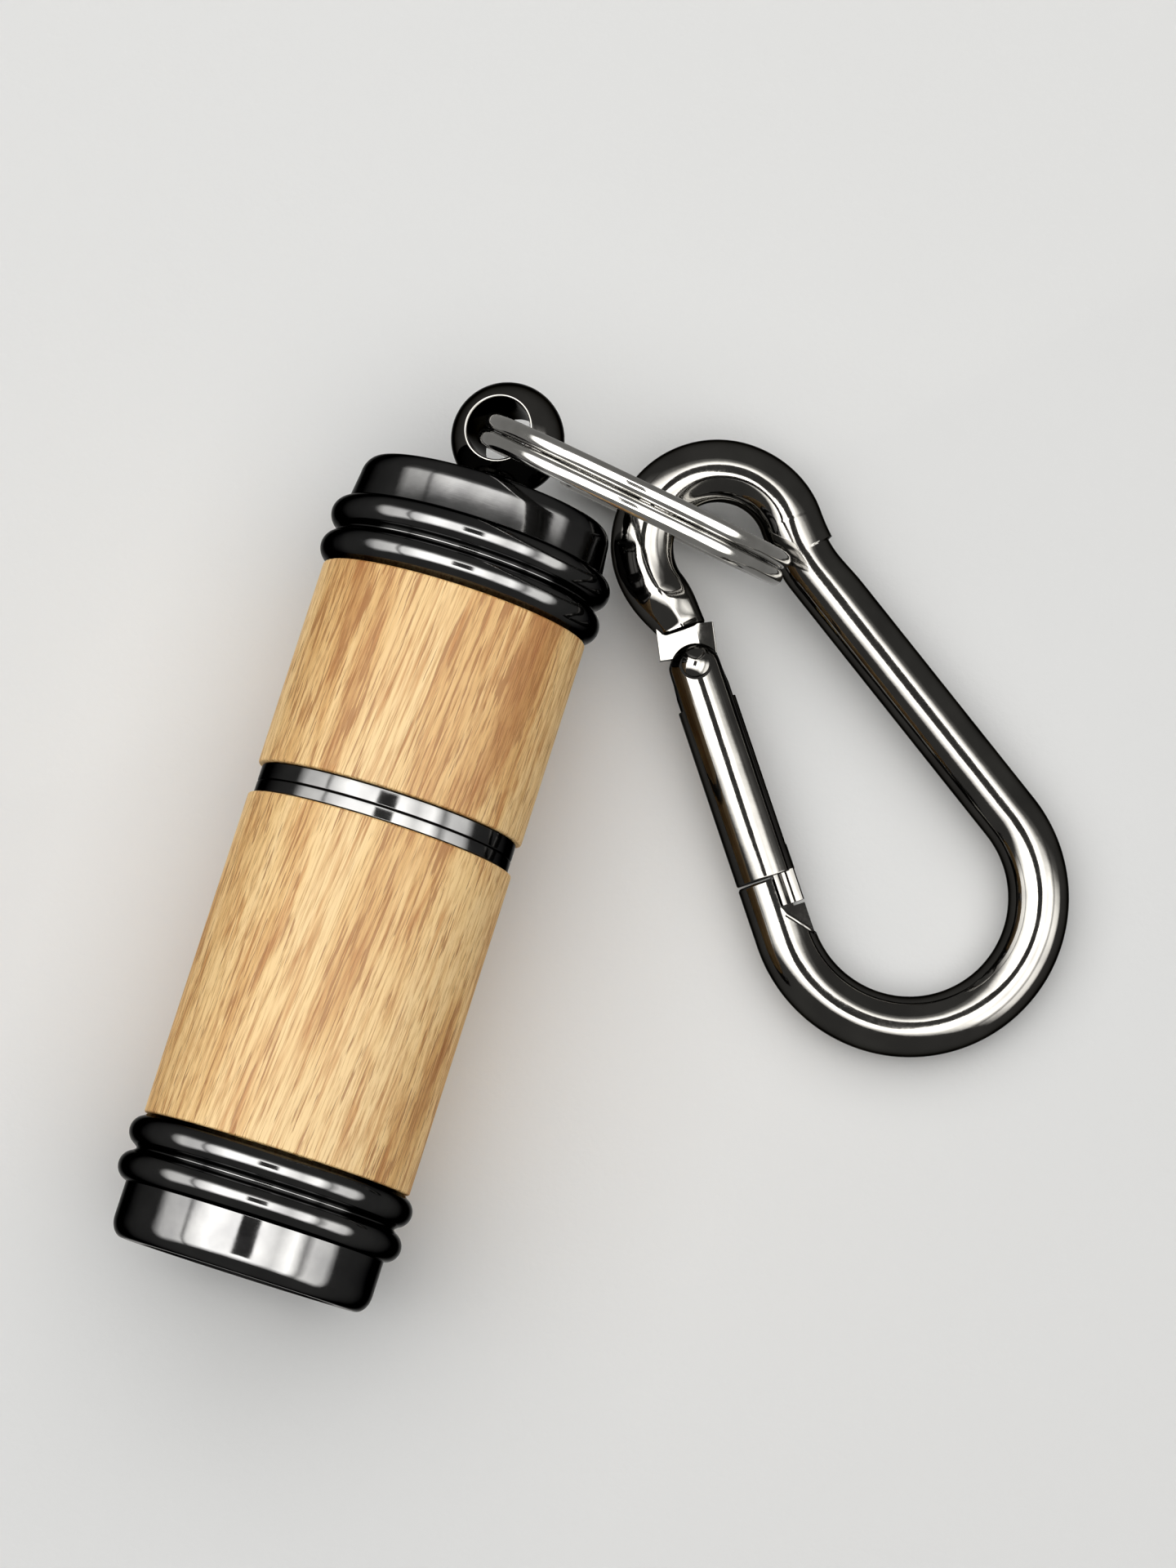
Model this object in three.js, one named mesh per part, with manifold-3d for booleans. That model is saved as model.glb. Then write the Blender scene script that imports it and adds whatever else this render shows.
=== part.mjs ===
// Keychain flashlight with a wooden body, a swivel ball eye, a split ring and a small snap hook.
//
// Frame: millimetres, +Z up. The flashlight lies on its side with its lens end towards -Y and its
// swivel eye towards +Y. The hook lies beside it, on the +X side. The origin is the middle of the
// rectangle that the whole object covers on the surface it lies on.

import * as THREE from 'three';
import { mergeVertices } from 'three/addons/utils/BufferGeometryUtils.js';
import Module from 'manifold-3d';

const wasm = await Module();
wasm.setup();

// ---------------------------------------------------------------------------------------------
// Driving dimensions, mm. Stations along the flashlight are measured from the lens end face.
// ---------------------------------------------------------------------------------------------

const GAP = 0.05; // between pieces that are pressed or screwed together on the flashlight's axis
const TURNED_GAP = 0.15; // between pieces that touch inside the tilted hook

// Turned outer casing.
const BODY_LENGTH = 60.8;
const CROWN_R = 10.85; // top of the decorative beads, the widest part of the body
const BEAD_SECTION_R = 1.2; // radius of a bead's own half-round section
const LAND_R = 10.15; // narrow land between two beads
const BAND_R = 9.9; // plain bands at both ends
const BEAD_PITCH = 2.65;
const FIRST_BEAD = 1.35; // from the wood's edge to the middle of the nearest bead
const EDGE_ROUND = 1.0;
const LENS_OPENING_R = 6.9;
const CAP_BORE_R = 8.6;
const CAP_LIP = 1.0; // thickness of the lip that holds the lens
const TAIL_WALL = 2.0; // thickness of the wall that carries the swivel eye
const TAIL_BAND_END_R = 9.65; // the tail band narrows slightly towards its end

// Wooden sleeves and the metal liner tubes under them.
const WOOD_R = 10.2;
const WOOD_CHAMFER = 0.15;
const HEAD_WOOD = [9.25, 34.0];
const TAIL_WOOD = [36.35, 52.1];
const LINER_R = 8.5;
const LINER_BORE_R = 8.0;

// Threaded joint in the middle. The thread itself is 1 mm pitch; both threads are kept here as
// plain cylinders at their pitch clearance.
const PARTING = 35.0;
const JOINT_RING_R = 9.85;
const SPIGOT_R = 7.9;
const MALE_R = 7.1;
const FEMALE_R = 7.3;
const COUPLER_BORE_R = 6.5;
const MALE_END = 41.0;
const FEMALE_END = 43.0;
const O_RING_R = 7.35;
const O_RING_SECTION_R = 0.38;

// Button cells, type LR44, in an insulating sleeve.
const CELL_R = 5.8;
const CELL_HEIGHT = 5.4;
const CELL_COUNT = 3;
const FIRST_CELL = 18.0;
const SLEEVE_R = 6.4;
const SLEEVE_BORE_R = 6.0;

// Optics: 5 mm diode in a parabolic reflector behind a flat-backed lens.
const LENS_R = 8.4;
const LENS_BACK = 2.6;
const REFLECTOR_FRONT = 3.3;
const REFLECTOR_BACK = 9.2;
const REFLECTOR_FOCAL = 2.0;
const REFLECTOR_VERTEX = 10.15;
const DIODE_R = 2.5;
const DIODE_CENTRE = 8.4;
const DIODE_FLANGE = 12.3;
const BOARD_R = 7.8;
const BOARD = [13.4, 14.9];

// Swivel eye on the tail.
const BALL_R = 4.25;
const BALL_CENTRE = 65.25;
const NECK_R = 2.25;
const STUD_R = 1.5;
const EYE_HOLE_R = 2.45;
const EYE_HOLE_TILT = THREE.MathUtils.degToRad(12); // leans towards -X at its top

// Split ring, standing on edge through the eye.
const RING_OUTER_R = 12.5;
const RING_RADIAL = 1.9; // wire size, measured along the ring's radius
const RING_COIL = 1.28; // wire size, measured along the ring's axis
const RING_COIL_PITCH = 1.34;
const RING_HEADING = THREE.MathUtils.degToRad(-8.5);
const RING_LEAN = THREE.MathUtils.degToRad(9);
const RING_CENTRE = new THREE.Vector3(10.45, 63.45, 12.58);

// Snap hook: a pear-shaped bent wire with a round eye at its narrow end.
const WIRE_R = 2.3;
const EYE_WIRE_R = 2.4;
const BIG_BEND_R = 9.8;
const SMALL_BEND_R = 5.75;
const BEND_DISTANCE = 30.2;
const SIDE_ANGLE = THREE.MathUtils.degToRad(9.9);
const NECK_ANGLE = THREE.MathUtils.degToRad(99); // where the round eye starts, from its top
const HOOK_CENTRE = new THREE.Vector3(38.9, 42.35, 2.95); // middle of the big bend
const HOOK_HEADING = THREE.MathUtils.degToRad(136);
const HOOK_TILT = THREE.MathUtils.degToRad(3.55); // the eye end lies over the split ring

// Gate of the snap hook. Its own X axis runs from the rivet to the nose, its Y axis points inward.
const GATE_PIVOT = 21.7; // along the gate side, from the end of the big bend
const GATE_LENGTH = 17.0;
const GATE_CHEEK_R = 1.85;
const TONGUE_THICKNESS = 2.0;
const TONGUE_WIDTH = 4.3;
const TONGUE_BEYOND = 1.5; // past the rivet
const SHOULDER = 3; // from the rivet back to the full wire
const LATCH_LENGTH = 2.1;
const RIVET_R = 0.8;
const RIVET_HEAD_R = 1.1;

// Fineness.
const OUTER_SIDES = 32;
const INNER_SIDES = 20;
const WIRE_SIDES = 12;

// ---------------------------------------------------------------------------------------------
// Materials
// ---------------------------------------------------------------------------------------------

function material(colour, roughness, metalness) {
  return new THREE.MeshStandardMaterial({ color: colour, roughness, metalness });
}

const gunmetal = () => material(0x2b2c2f, 0.12, 1);
const nickel = () => material(0xb9b8b4, 0.15, 1);
const brass = () => material(0xb08d4a, 0.3, 1);
const springSteel = () => material(0x9a9a98, 0.25, 1);
const wood = () => material(0xc79a63, 0.55, 0);
const clearPlastic = () => material(0xeef2f4, 0.05, 0);
const chromedPlastic = () => material(0xe4e4e2, 0.08, 1);
const blackRubber = () => material(0x1a1a1a, 0.8, 0);
const whitePlastic = () => material(0xe8e6df, 0.5, 0);
const boardGreen = () => material(0x1f5a35, 0.45, 0);
const cellSteel = () => material(0xc9c9c6, 0.22, 1);
const resistorTan = () => material(0xc8ab7c, 0.5, 0);

// ---------------------------------------------------------------------------------------------
// Geometry helpers
// ---------------------------------------------------------------------------------------------

/** Six times the signed volume of the tetrahedra between the origin and each triangle. */
function signedVolume(positions, index) {
  const a = new THREE.Vector3();
  const b = new THREE.Vector3();
  const c = new THREE.Vector3();
  let sum = 0;
  for (let i = 0; i < index.length; i += 3) {
    a.fromBufferAttribute(positions, index[i]);
    b.fromBufferAttribute(positions, index[i + 1]);
    c.fromBufferAttribute(positions, index[i + 2]);
    sum += a.dot(b.cross(c));
  }
  return sum;
}

/** One closed solid: shared vertices, no collapsed triangles, faces pointing out. */
function closed(geometry) {
  const bare = geometry.clone();
  bare.deleteAttribute('normal');
  bare.deleteAttribute('uv');
  const merged = mergeVertices(bare, 1e-4);
  const corners = Array.from(merged.index.array);
  const kept = [];
  for (let i = 0; i < corners.length; i += 3) {
    const [a, b, c] = corners.slice(i, i + 3);
    if (a !== b && b !== c && c !== a) {
      kept.push(a, b, c);
    }
  }
  const inward = signedVolume(merged.attributes.position, kept) < 0;
  merged.setIndex(inward ? kept.reverse() : kept);
  return merged;
}

function toManifold(geometry) {
  const solid = closed(geometry);
  return new wasm.Manifold(new wasm.Mesh({
    numProp: 3,
    vertProperties: new Float32Array(solid.attributes.position.array),
    triVerts: new Uint32Array(solid.index.array),
  }));
}

function fromManifold(manifold) {
  const mesh = manifold.getMesh();
  const geometry = new THREE.BufferGeometry();
  geometry.setAttribute('position', new THREE.BufferAttribute(mesh.vertProperties, 3));
  geometry.setIndex(new THREE.BufferAttribute(mesh.triVerts, 1));
  return geometry;
}

function join(first, ...others) {
  return fromManifold(others.reduce((sum, next) => sum.add(toManifold(next)), toManifold(first)));
}

function cut(first, ...tools) {
  const start = toManifold(first);
  return fromManifold(tools.reduce((left, tool) => left.subtract(toManifold(tool)), start));
}

function common(first, second) {
  return fromManifold(toManifold(first).intersect(toManifold(second)));
}

/** A solid of revolution about the flashlight's axis from [radius, station] points. */
function turned(profile, sides = INNER_SIDES) {
  const touchesAxis = profile[0][0] === 0;
  const loop = touchesAxis ? profile : [...profile, profile[0]];
  return closed(new THREE.LatheGeometry(loop.map(([r, y]) => new THREE.Vector2(r, y)), sides));
}

/** Points of an arc on a turned profile, as [radius, station], angles in degrees. */
function arc(centreR, centreY, radius, from, to, steps) {
  return Array.from({ length: steps + 1 }, (_, i) => {
    const angle = THREE.MathUtils.degToRad(from + ((to - from) * i) / steps);
    return [centreR + radius * Math.cos(angle), centreY + radius * Math.sin(angle)];
  });
}

/** A turned ring with a round section. */
function roundRing(radius, station, sectionRadius) {
  const section = arc(radius, station, sectionRadius, 0, 300, 5);
  return turned(section);
}

/** A plain round bar along X, from one station to the other. */
function barAlongX(radius, from, to, sides = WIRE_SIDES) {
  const bar = new THREE.CylinderGeometry(radius, radius, to - from, sides);
  bar.rotateZ(Math.PI / 2);
  bar.translate((from + to) / 2, 0, 0);
  return bar;
}

/** A plain round bar along Z. */
function barAlongZ(radius, from, to, sides = WIRE_SIDES) {
  const bar = new THREE.CylinderGeometry(radius, radius, to - from, sides);
  bar.rotateX(Math.PI / 2);
  bar.translate(0, 0, (from + to) / 2);
  return bar;
}

/** A box between two corners. */
function block(low, high) {
  const size = high.map((value, i) => value - low[i]);
  const box = new THREE.BoxGeometry(...size);
  box.translate(...low.map((value, i) => value + size[i] / 2));
  return box;
}

/** A round wire section as a shape. */
function roundSection(radius, sides = WIRE_SIDES) {
  const points = Array.from({ length: sides }, (_, i) => {
    const angle = (2 * Math.PI * i) / sides;
    return new THREE.Vector2(radius * Math.cos(angle), radius * Math.sin(angle));
  });
  return new THREE.Shape(points);
}

function swept(section, curve, steps) {
  return closed(new THREE.ExtrudeGeometry(section, { steps, extrudePath: curve, curveSegments: 1 }));
}

/** A flat drawing lifted into space, in the plane Z = 0. */
class FlatCurve extends THREE.Curve {
  constructor(path) {
    super();
    this.path = path;
  }

  getPoint(t, target = new THREE.Vector3()) {
    const point = this.path.getPoint(t);
    return target.set(point.x, point.y, 0);
  }
}

/** A coil about the Y axis whose radius changes evenly from one end to the other. */
class CoilCurve extends THREE.Curve {
  constructor(startRadius, endRadius, start, end, turns) {
    super();
    Object.assign(this, { startRadius, endRadius, start, end, turns });
  }

  getPoint(t, target = new THREE.Vector3()) {
    const angle = 2 * Math.PI * this.turns * t;
    const radius = THREE.MathUtils.lerp(this.startRadius, this.endRadius, t);
    const station = THREE.MathUtils.lerp(this.start, this.end, t);
    return target.set(radius * Math.cos(angle), station, radius * Math.sin(angle));
  }
}

// ---------------------------------------------------------------------------------------------
// Turned casing
// ---------------------------------------------------------------------------------------------

const BEAD_AXIS_R = CROWN_R - BEAD_SECTION_R;
const LAND_ANGLE = THREE.MathUtils.radToDeg(Math.asin((LAND_R - BEAD_AXIS_R) / BEAD_SECTION_R));
const BAND_ANGLE = THREE.MathUtils.radToDeg(Math.asin((BAND_R - BEAD_AXIS_R) / BEAD_SECTION_R));

/** Two beads beside the wood's edge, listed from the wood outward; side is -1 lens, 1 tail. */
function beads(woodEdge, side) {
  const near = woodEdge + side * FIRST_BEAD;
  const far = near + side * BEAD_PITCH;
  const bead = (centre, first, last) =>
    arc(0, 0, BEAD_SECTION_R, first, last, 4).map(([along, up]) => [BEAD_AXIS_R + up, centre - side * along]);
  return [
    [BAND_R, woodEdge + side * GAP],
    ...bead(near, LAND_ANGLE, 180 - LAND_ANGLE),
    ...bead(far, LAND_ANGLE, 180 - BAND_ANGLE),
  ];
}

function headCap() {
  const edge = arc(BAND_R - EDGE_ROUND, EDGE_ROUND, EDGE_ROUND, 0, -90, 3);
  return turned([
    ...beads(HEAD_WOOD[0], -1),
    ...edge,
    [LENS_OPENING_R, 0],
    [LENS_OPENING_R, CAP_LIP],
    [CAP_BORE_R, CAP_LIP],
    [CAP_BORE_R, HEAD_WOOD[0] - GAP],
  ], OUTER_SIDES);
}

function tailCap() {
  const shoulder = BODY_LENGTH - EDGE_ROUND;
  const edge = arc(TAIL_BAND_END_R - EDGE_ROUND, shoulder, EDGE_ROUND, 0, 90, 3);
  return turned([
    ...beads(TAIL_WOOD[1], 1),
    ...edge,
    [STUD_R + 0.25, BODY_LENGTH],
    [STUD_R + 0.25, BODY_LENGTH - TAIL_WALL],
    [CAP_BORE_R, BODY_LENGTH - TAIL_WALL],
    [CAP_BORE_R, TAIL_WOOD[1] + GAP],
  ], OUTER_SIDES);
}

function woodSleeve([start, end]) {
  return turned([
    [CAP_BORE_R, start],
    [WOOD_R - WOOD_CHAMFER, start],
    [WOOD_R, start + WOOD_CHAMFER],
    [WOOD_R, end - WOOD_CHAMFER],
    [WOOD_R - WOOD_CHAMFER, end],
    [CAP_BORE_R, end],
  ], OUTER_SIDES);
}

function linerTube(start, end) {
  return turned([[LINER_BORE_R, start], [LINER_R, start], [LINER_R, end], [LINER_BORE_R, end]]);
}

/** Lens half of the threaded joint: spigot, visible ring, and male shank with a seal groove. */
function headCoupler() {
  const ringStart = HEAD_WOOD[1] + GAP;
  return turned([
    [COUPLER_BORE_R, ringStart - 5],
    [SPIGOT_R, ringStart - 5],
    [SPIGOT_R, ringStart],
    [JOINT_RING_R - 0.1, ringStart],
    [JOINT_RING_R, ringStart + 0.1],
    [JOINT_RING_R, PARTING - 0.1],
    [JOINT_RING_R - 0.1, PARTING],
    [MALE_R - 0.25, PARTING],
    [MALE_R - 0.25, PARTING + 1],
    [MALE_R, PARTING + 1],
    [MALE_R, MALE_END],
    [COUPLER_BORE_R, MALE_END],
  ], OUTER_SIDES);
}

/** Tail half of the threaded joint: visible ring and female socket inside the tail liner. */
function tailCoupler() {
  const ringStart = PARTING + GAP;
  const ringEnd = TAIL_WOOD[0] - GAP;
  const sealSeatR = O_RING_R + O_RING_SECTION_R + 0.1;
  return turned([
    [sealSeatR, ringStart],
    [JOINT_RING_R - 0.1, ringStart],
    [JOINT_RING_R, ringStart + 0.1],
    [JOINT_RING_R, ringEnd - 0.1],
    [JOINT_RING_R - 0.1, ringEnd],
    [SPIGOT_R, ringEnd],
    [SPIGOT_R, FEMALE_END],
    [FEMALE_R, FEMALE_END],
    [FEMALE_R, PARTING + 0.95],
    [sealSeatR, PARTING + 0.95],
  ], OUTER_SIDES);
}

// ---------------------------------------------------------------------------------------------
// Optics and electrics
// ---------------------------------------------------------------------------------------------

function lens() {
  const crown = 0.45;
  return turned([
    [0, crown],
    [3.3, crown + 0.15],
    [LENS_OPENING_R - 0.3, CAP_LIP + GAP],
    [LENS_R, CAP_LIP + GAP],
    [LENS_R, LENS_BACK],
    [0, LENS_BACK],
  ]);
}

/** Parabolic cup, metallised inside, clamped by its flange between the seal and the liner. */
function reflector() {
  const bowlR = (station) => Math.sqrt(4 * REFLECTOR_FOCAL * (REFLECTOR_VERTEX - station));
  const bowl = [0, 0.33, 0.66, 1].map((share) => {
    const station = THREE.MathUtils.lerp(REFLECTOR_BACK, REFLECTOR_FRONT, share);
    return [bowlR(station), station];
  });
  return turned([
    ...bowl,
    [CAP_BORE_R - 0.3, REFLECTOR_FRONT],
    [CAP_BORE_R - 0.3, REFLECTOR_FRONT + 0.7],
    [LINER_BORE_R - 0.1, REFLECTOR_FRONT + 0.7],
    [LINER_BORE_R - 0.2, 5.0],
    [bowlR(7) + 0.7, 7],
    [bowlR(REFLECTOR_BACK) + 0.7, REFLECTOR_BACK],
  ]);
}

function diode() {
  const dome = arc(0, DIODE_CENTRE, DIODE_R, -90, 0, 4);
  dome[0][0] = 0;
  return turned([
    ...dome,
    [DIODE_R, DIODE_FLANGE],
    [DIODE_R + 0.4, DIODE_FLANGE],
    [DIODE_R + 0.4, DIODE_FLANGE + 1],
    [0, DIODE_FLANGE + 1],
  ], WIRE_SIDES);
}

function diodeHolder() {
  return turned([
    [DIODE_R + 0.25, REFLECTOR_BACK + 0.3],
    [BOARD_R, REFLECTOR_BACK + 0.3],
    [BOARD_R, BOARD[0] - GAP],
    [DIODE_R + 0.6, BOARD[0] - GAP],
    [DIODE_R + 0.6, DIODE_FLANGE - GAP],
    [DIODE_R + 0.25, DIODE_FLANGE - GAP],
  ]);
}

function circuitBoard() {
  return turned([[0, BOARD[0]], [BOARD_R, BOARD[0]], [BOARD_R, BOARD[1]], [0, BOARD[1]]]);
}

function boardContact() {
  const start = BOARD[1] + GAP;
  const tip = FIRST_CELL - GAP;
  return turned([
    [0, start],
    [2.2, start],
    [2.2, start + 0.6],
    [1.3, start + 1],
    [1.3, tip - 0.3],
    [1, tip],
    [0, tip],
  ], WIRE_SIDES);
}

/** Dog-bone resistor body lying on the board's battery side. */
function resistor() {
  const body = turned([
    [0, -1.5],
    [0.6, -1.5],
    [0.8, -1.2],
    [0.8, -0.8],
    [0.65, -0.5],
    [0.65, 0.5],
    [0.8, 0.8],
    [0.8, 1.2],
    [0.6, 1.5],
    [0, 1.5],
  ], WIRE_SIDES);
  body.rotateX(Math.PI / 2);
  body.translate(4.2, BOARD[1] + 1.1, 0);
  return body;
}

function batterySleeve() {
  const start = BOARD[1] + 0.2;
  const end = FIRST_CELL + CELL_COUNT * CELL_HEIGHT + 0.4;
  return turned([
    [SLEEVE_BORE_R, start],
    [BOARD_R, start],
    [BOARD_R, start + 1],
    [SLEEVE_R, start + 1],
    [SLEEVE_R, end],
    [SLEEVE_BORE_R, end],
  ]);
}

/** One button cell, its smaller negative cap towards the tail. */
function buttonCell(start) {
  const end = start + CELL_HEIGHT - GAP;
  return turned([
    [0, start],
    [CELL_R - 0.2, start],
    [CELL_R, start + 0.2],
    [CELL_R, end - 0.6],
    [CELL_R - 0.7, end - 0.45],
    [CELL_R - 0.7, end],
    [0, end],
  ]);
}

function contactPlug() {
  const bore = 2.5;
  return turned([
    [0, 39.5],
    [1.6, 39.5],
    [1.6, 41],
    [4.2, 41],
    [4.2, FEMALE_END + 0.2],
    [LINER_BORE_R - 0.15, FEMALE_END + 0.2],
    [LINER_BORE_R - 0.15, 56.9],
    [bore, 56.9],
    [bore, 46],
    [0, 46],
  ]);
}

function contactSpring() {
  return swept(roundSection(0.3, 6), new CoilCurve(3.4, 2.2, 40.65, 34.65, 4), 40);
}

// ---------------------------------------------------------------------------------------------
// Swivel eye
// ---------------------------------------------------------------------------------------------

/** Unit direction of the hole through the ball. */
const EYE_HOLE_AXIS = new THREE.Vector3(-Math.sin(EYE_HOLE_TILT), 0, Math.cos(EYE_HOLE_TILT));

function swivelEye() {
  const neckAngle = THREE.MathUtils.radToDeg(Math.acos(NECK_R / BALL_R));
  const ball = arc(0, BALL_CENTRE, BALL_R, -neckAngle, 90, 11);
  ball[ball.length - 1][0] = 0;
  const body = turned([
    [0, 57.3],
    [STUD_R, 57.3],
    [STUD_R, 57.9],
    [STUD_R - 0.4, 57.9],
    [STUD_R - 0.4, 58.5],
    [STUD_R, 58.5],
    [STUD_R, BODY_LENGTH + 0.15],
    [NECK_R, BODY_LENGTH + 0.15],
    ...ball,
  ]);
  const rim = Math.sqrt(BALL_R ** 2 - EYE_HOLE_R ** 2);
  const flare = 0.5;
  const hole = closed(new THREE.LatheGeometry([
    [0, -BALL_R - 1],
    [EYE_HOLE_R + flare * 3, -BALL_R - 1],
    [EYE_HOLE_R + flare, -rim],
    [EYE_HOLE_R, -rim + flare * 2],
    [EYE_HOLE_R, rim - flare * 2],
    [EYE_HOLE_R + flare, rim],
    [EYE_HOLE_R + flare * 3, BALL_R + 1],
    [0, BALL_R + 1],
  ].map(([r, y]) => new THREE.Vector2(r, y)), 20));
  const upright = new THREE.Vector3(0, 1, 0);
  hole.applyQuaternion(new THREE.Quaternion().setFromUnitVectors(upright, EYE_HOLE_AXIS));
  hole.translate(0, BALL_CENTRE, 0);
  return cut(body, hole);
}

/** Open retaining clip that keeps the eye's stud in the tail wall. */
function swivelClip() {
  const washer = turned([
    [STUD_R - 0.3, 57.98],
    [STUD_R + 1.5, 57.98],
    [STUD_R + 1.5, 58.42],
    [STUD_R - 0.3, 58.42],
  ], WIRE_SIDES);
  return cut(washer, block([0, 57, -0.9], [4, 59, 0.9]));
}

// ---------------------------------------------------------------------------------------------
// Split ring
// ---------------------------------------------------------------------------------------------

/** Nearly two turns in the XZ plane, stepping sideways from one coil to the other. */
class SplitRingCurve extends THREE.Curve {
  getPoint(t, target = new THREE.Vector3()) {
    const radius = RING_OUTER_R - RING_RADIAL / 2;
    const step = 28;
    const turn = t * (720 - step - 4);
    const side = THREE.MathUtils.smoothstep(turn, 360 - step, 360) - 0.5;
    const angle = THREE.MathUtils.degToRad(238 + turn);
    return target.set(radius * Math.cos(angle), side * RING_COIL_PITCH, radius * Math.sin(angle));
  }
}

function splitRing() {
  const halfAxial = RING_COIL / 2;
  const halfRadial = RING_RADIAL / 2;
  const corner = 0.35;
  const section = new THREE.Shape([
    [halfAxial - corner, -halfRadial],
    [halfAxial, corner - halfRadial],
    [halfAxial, halfRadial - corner],
    [halfAxial - corner, halfRadial],
    [corner - halfAxial, halfRadial],
    [-halfAxial, halfRadial - corner],
    [-halfAxial, corner - halfRadial],
    [corner - halfAxial, -halfRadial],
  ].map(([x, y]) => new THREE.Vector2(x, y)));
  return swept(section, new SplitRingCurve(), 54);
}

// ---------------------------------------------------------------------------------------------
// Snap hook. Local frame: X from the big bend to the small eye, Y towards the gate side.
// ---------------------------------------------------------------------------------------------

const SIDE_START = new THREE.Vector2(Math.sin(SIDE_ANGLE), Math.cos(SIDE_ANGLE))
  .multiplyScalar(BIG_BEND_R);

/** A point on the gate side's centre line, measured from the end of the big bend. */
function onGateSide(distance) {
  return new THREE.Vector2(
    SIDE_START.x + distance * Math.cos(SIDE_ANGLE),
    SIDE_START.y - distance * Math.sin(SIDE_ANGLE),
  );
}

/** Where the line of the gate side meets the tangent of the small eye at the neck. */
function neckCorner() {
  const neck = new THREE.Vector2(
    BEND_DISTANCE + SMALL_BEND_R * Math.cos(NECK_ANGLE),
    SMALL_BEND_R * Math.sin(NECK_ANGLE),
  );
  const tangentSlope = -Math.cos(NECK_ANGLE) / Math.sin(NECK_ANGLE);
  const sideSlope = -Math.tan(SIDE_ANGLE);
  const x = (neck.y - tangentSlope * neck.x - SIDE_START.y + sideSlope * SIDE_START.x)
    / (sideSlope - tangentSlope);
  return new THREE.Vector2(x, SIDE_START.y + sideSlope * (x - SIDE_START.x));
}

const GATE_END = GATE_PIVOT - GATE_LENGTH;
const NECK_START = 23.6; // along the spine, where the bend of the neck begins
const THICK_WIRE_START = 0.45; // share of the spine's neck bend where the wire thickens
const RIVET_POINT = onGateSide(GATE_PIVOT);

const EYE_START = new THREE.Vector2(
  BEND_DISTANCE + SMALL_BEND_R * Math.cos(NECK_ANGLE),
  SMALL_BEND_R * Math.sin(NECK_ANGLE),
);

/** The same place on the spine side. */
function mirrored(point) {
  return new THREE.Vector2(point.x, -point.y);
}

/** Nose, big bend, spine, and the start of the neck. */
function mainWire() {
  const path = new THREE.Path();
  const nose = onGateSide(GATE_END - TURNED_GAP);
  path.moveTo(nose.x, nose.y);
  path.lineTo(SIDE_START.x, SIDE_START.y);
  path.absarc(0, 0, BIG_BEND_R, Math.PI / 2 - SIDE_ANGLE, 1.5 * Math.PI + SIDE_ANGLE, false);
  const neck = mirrored(onGateSide(NECK_START));
  const corner = mirrored(neckCorner());
  path.lineTo(neck.x, neck.y);
  path.quadraticCurveTo(corner.x, corner.y, EYE_START.x, -EYE_START.y);
  return swept(roundSection(WIRE_R), new FlatCurve(path), 46);
}

/** The slightly thicker round eye, from part way along the spine's neck to the gate's shoulder. */
function eyeWire() {
  const corner = neckCorner();
  const neck = mirrored(onGateSide(NECK_START));
  const shoulder = onGateSide(GATE_PIVOT + SHOULDER);
  const bend = new THREE.QuadraticBezierCurve(neck, mirrored(corner), mirrored(EYE_START));
  const start = bend.getPoint(THICK_WIRE_START);
  const control = mirrored(corner).lerp(mirrored(EYE_START), THICK_WIRE_START);
  const path = new THREE.Path();
  path.moveTo(start.x, start.y);
  path.quadraticCurveTo(control.x, control.y, EYE_START.x, -EYE_START.y);
  path.absarc(BEND_DISTANCE, 0, SMALL_BEND_R, -NECK_ANGLE, NECK_ANGLE, false);
  path.quadraticCurveTo(corner.x, corner.y, shoulder.x, shoulder.y);
  return swept(roundSection(EYE_WIRE_R), new FlatCurve(path), 30);
}

/** Moves a piece drawn in the gate's frame into the hook's frame. */
function fromGateFrame(geometry) {
  geometry.rotateZ(Math.PI - SIDE_ANGLE);
  geometry.translate(RIVET_POINT.x, RIVET_POINT.y, 0);
  return geometry;
}

function hook() {
  const half = TONGUE_WIDTH / 2;
  const thick = TONGUE_THICKNESS / 2;
  const tongue = fromGateFrame(block([-SHOULDER - 1, -half, -thick], [TONGUE_BEYOND, half, thick]));
  const rivetHole = fromGateFrame(barAlongZ(RIVET_R + TURNED_GAP, -4, 4));
  const latchEnd = GATE_LENGTH + LATCH_LENGTH + 2 * TURNED_GAP;
  const latchSeat = fromGateFrame(block([GATE_LENGTH - 1, 0.2, -3], [latchEnd, 4, 3]));
  const notch = new THREE.Shape([
    new THREE.Vector2(latchEnd - 0.1, 0.2),
    new THREE.Vector2(latchEnd + 2.2, 3),
    new THREE.Vector2(latchEnd - 0.1, 3),
  ]);
  const notchTool = new THREE.ExtrudeGeometry(notch, { depth: 6, bevelEnabled: false });
  notchTool.translate(0, 0, -3);
  return cut(
    join(mainWire(), eyeWire(), tongue),
    rivetHole,
    latchSeat,
    fromGateFrame(notchTool),
  );
}

function rivet() {
  const shankEnd = 2.0;
  const top = 2.42;
  const body = turned([
    [0, -top],
    [RIVET_HEAD_R - 0.3, -top],
    [RIVET_HEAD_R, -shankEnd - 0.15],
    [RIVET_HEAD_R, -shankEnd],
    [RIVET_R, -shankEnd],
    [RIVET_R, shankEnd],
    [RIVET_HEAD_R, shankEnd],
    [RIVET_HEAD_R, shankEnd + 0.15],
    [RIVET_HEAD_R - 0.3, top],
    [0, top],
  ], WIRE_SIDES);
  body.rotateX(Math.PI / 2);
  return body;
}

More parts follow.
